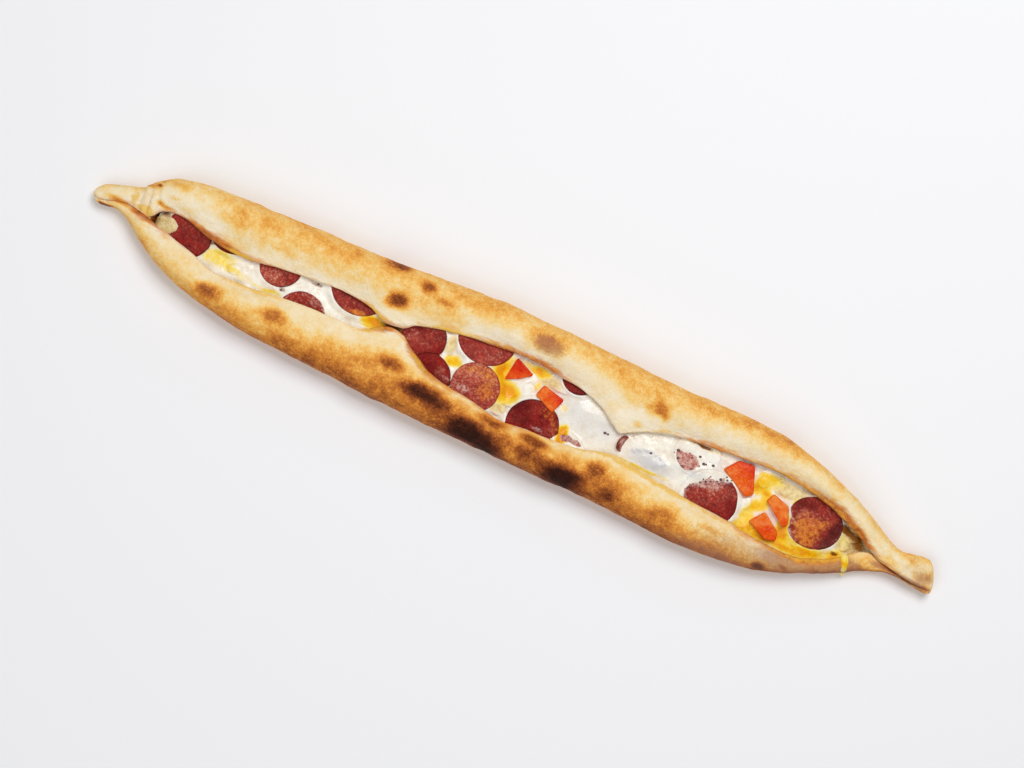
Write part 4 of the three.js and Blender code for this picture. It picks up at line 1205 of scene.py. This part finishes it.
def make_drip(material):
    """A flat ellipse carried along its path on the crust, closed to a point at both ends."""
    t = np.linspace(0, len(DRIP_PATH) - 1, 30)
    steps = np.arange(len(DRIP_PATH))
    path = np.stack([curve(*zip(steps, DRIP_PATH[:, axis]))(t) for axis in (0, 1)], axis=1)
    ends = np.sqrt(np.clip(np.minimum(t, t[-1] - t) / 0.4, 0, 1))
    wide = curve(*zip(steps, DRIP_WIDTH))(t) * ends
    way = np.gradient(path, axis=0)
    side = np.stack([way[:, 1], -way[:, 0]], axis=1) / np.linalg.norm(way, axis=1, keepdims=True)
    turn = np.linspace(0, 2 * np.pi, 20, endpoint=False)
    plan = path[:, None] + side[:, None] * (wide[:, None] * np.cos(turn))[:, :, None]
    rest = crust_height(*plan.reshape(-1, 2).T).reshape(plan.shape[:2])
    height = rest + DRIP_LIFT + DRIP_THICKNESS * ends[:, None] * np.sin(turn)
    points = np.concatenate([plan, height[:, :, None]], axis=2)
    px, py, _ = points.transpose(2, 0, 1)
    yellow = 0.32 + 0.35 * np.exp(-(((py + 14) / 2.6) ** 2))
    fields = {"yolk": yellow, "cheese": np.full(px.shape, 0.6)}
    return make_piece("egg_drip", points, material, [], fields)


# Camera, light and floor

LENS = 85
CAMERA_HEIGHT = 1.389
CAMERA_TURN = math.radians(24.74)
# The view's middle, measured from the drawing's origin along the view's own right and up, in mm
VIEW_MIDDLE = (-1.3, 0.6)
FLOOR_REACH = 6
SKY_STRENGTH = 0.32
# Soft lights: name, place to the view's right and up and size in metres, power in watts
LIGHTS = [
    ("key_light", 0.45, 0.6, 0.8, 16),
    ("fill_light", -0.7, -0.7, 1.4, 8),
]
LIGHT_HEIGHT = 1.5


def make_view():
    """A camera straight above, turned so that the pide lies aslant, a pale floor and soft light."""
    scene = bpy.context.scene
    scene.view_settings.view_transform = "Standard"
    right = np.array([math.cos(CAMERA_TURN), math.sin(CAMERA_TURN)])
    up = np.array([-math.sin(CAMERA_TURN), math.cos(CAMERA_TURN)])
    middle = (-np.array(MIDDLE) + VIEW_MIDDLE[0] * right + VIEW_MIDDLE[1] * up) * MM
    camera = bpy.data.objects.new("camera", bpy.data.cameras.new("camera"))
    camera.data.lens = LENS
    camera.location = (*middle, CAMERA_HEIGHT)
    camera.rotation_euler = (0, 0, CAMERA_TURN)
    scene.collection.objects.link(camera)
    scene.camera = camera

    floor_mesh = bpy.data.meshes.new("floor")
    corners = [(x * FLOOR_REACH, y * FLOOR_REACH, 0) for x, y in ((-1, -1), (1, -1), (1, 1), (-1, 1))]
    floor_mesh.from_pydata(corners, [], [(0, 1, 2, 3)])
    floor = bpy.data.objects.new("floor", floor_mesh)
    pale = Paint("pale_floor", Base_Color=tone(246, 246, 248), Roughness=0.8)
    floor_mesh.materials.append(pale.material)
    scene.collection.objects.link(floor)

    world = bpy.data.worlds.new("studio")
    world.use_nodes = True
    sky = world.node_tree.nodes["Background"]
    sky.inputs["Color"].default_value = (1, 1, 1, 1)
    sky.inputs["Strength"].default_value = SKY_STRENGTH
    scene.world = world

    for name, rightward, upward, size, power in LIGHTS:
        way = rightward * right + upward * up
        light = bpy.data.objects.new(name, bpy.data.lights.new(name, "AREA"))
        light.data.size = size
        light.data.energy = power
        light.location = (*way, LIGHT_HEIGHT)
        tip = math.atan2(np.hypot(*way), LIGHT_HEIGHT)
        light.rotation_euler = (tip, 0, math.atan2(way[1], way[0]) + math.pi / 2)
        scene.collection.objects.link(light)


make_view()
make_dough()
egg = filling_material()
make_filling(egg)
sausage = sucuk_material()
for number in range(len(SLICES)):
    make_slice(number, sausage)
flesh = tomato_material()
for number in range(len(TOMATOES)):
    make_tomato(number, flesh)
make_specks()
make_drip(egg)
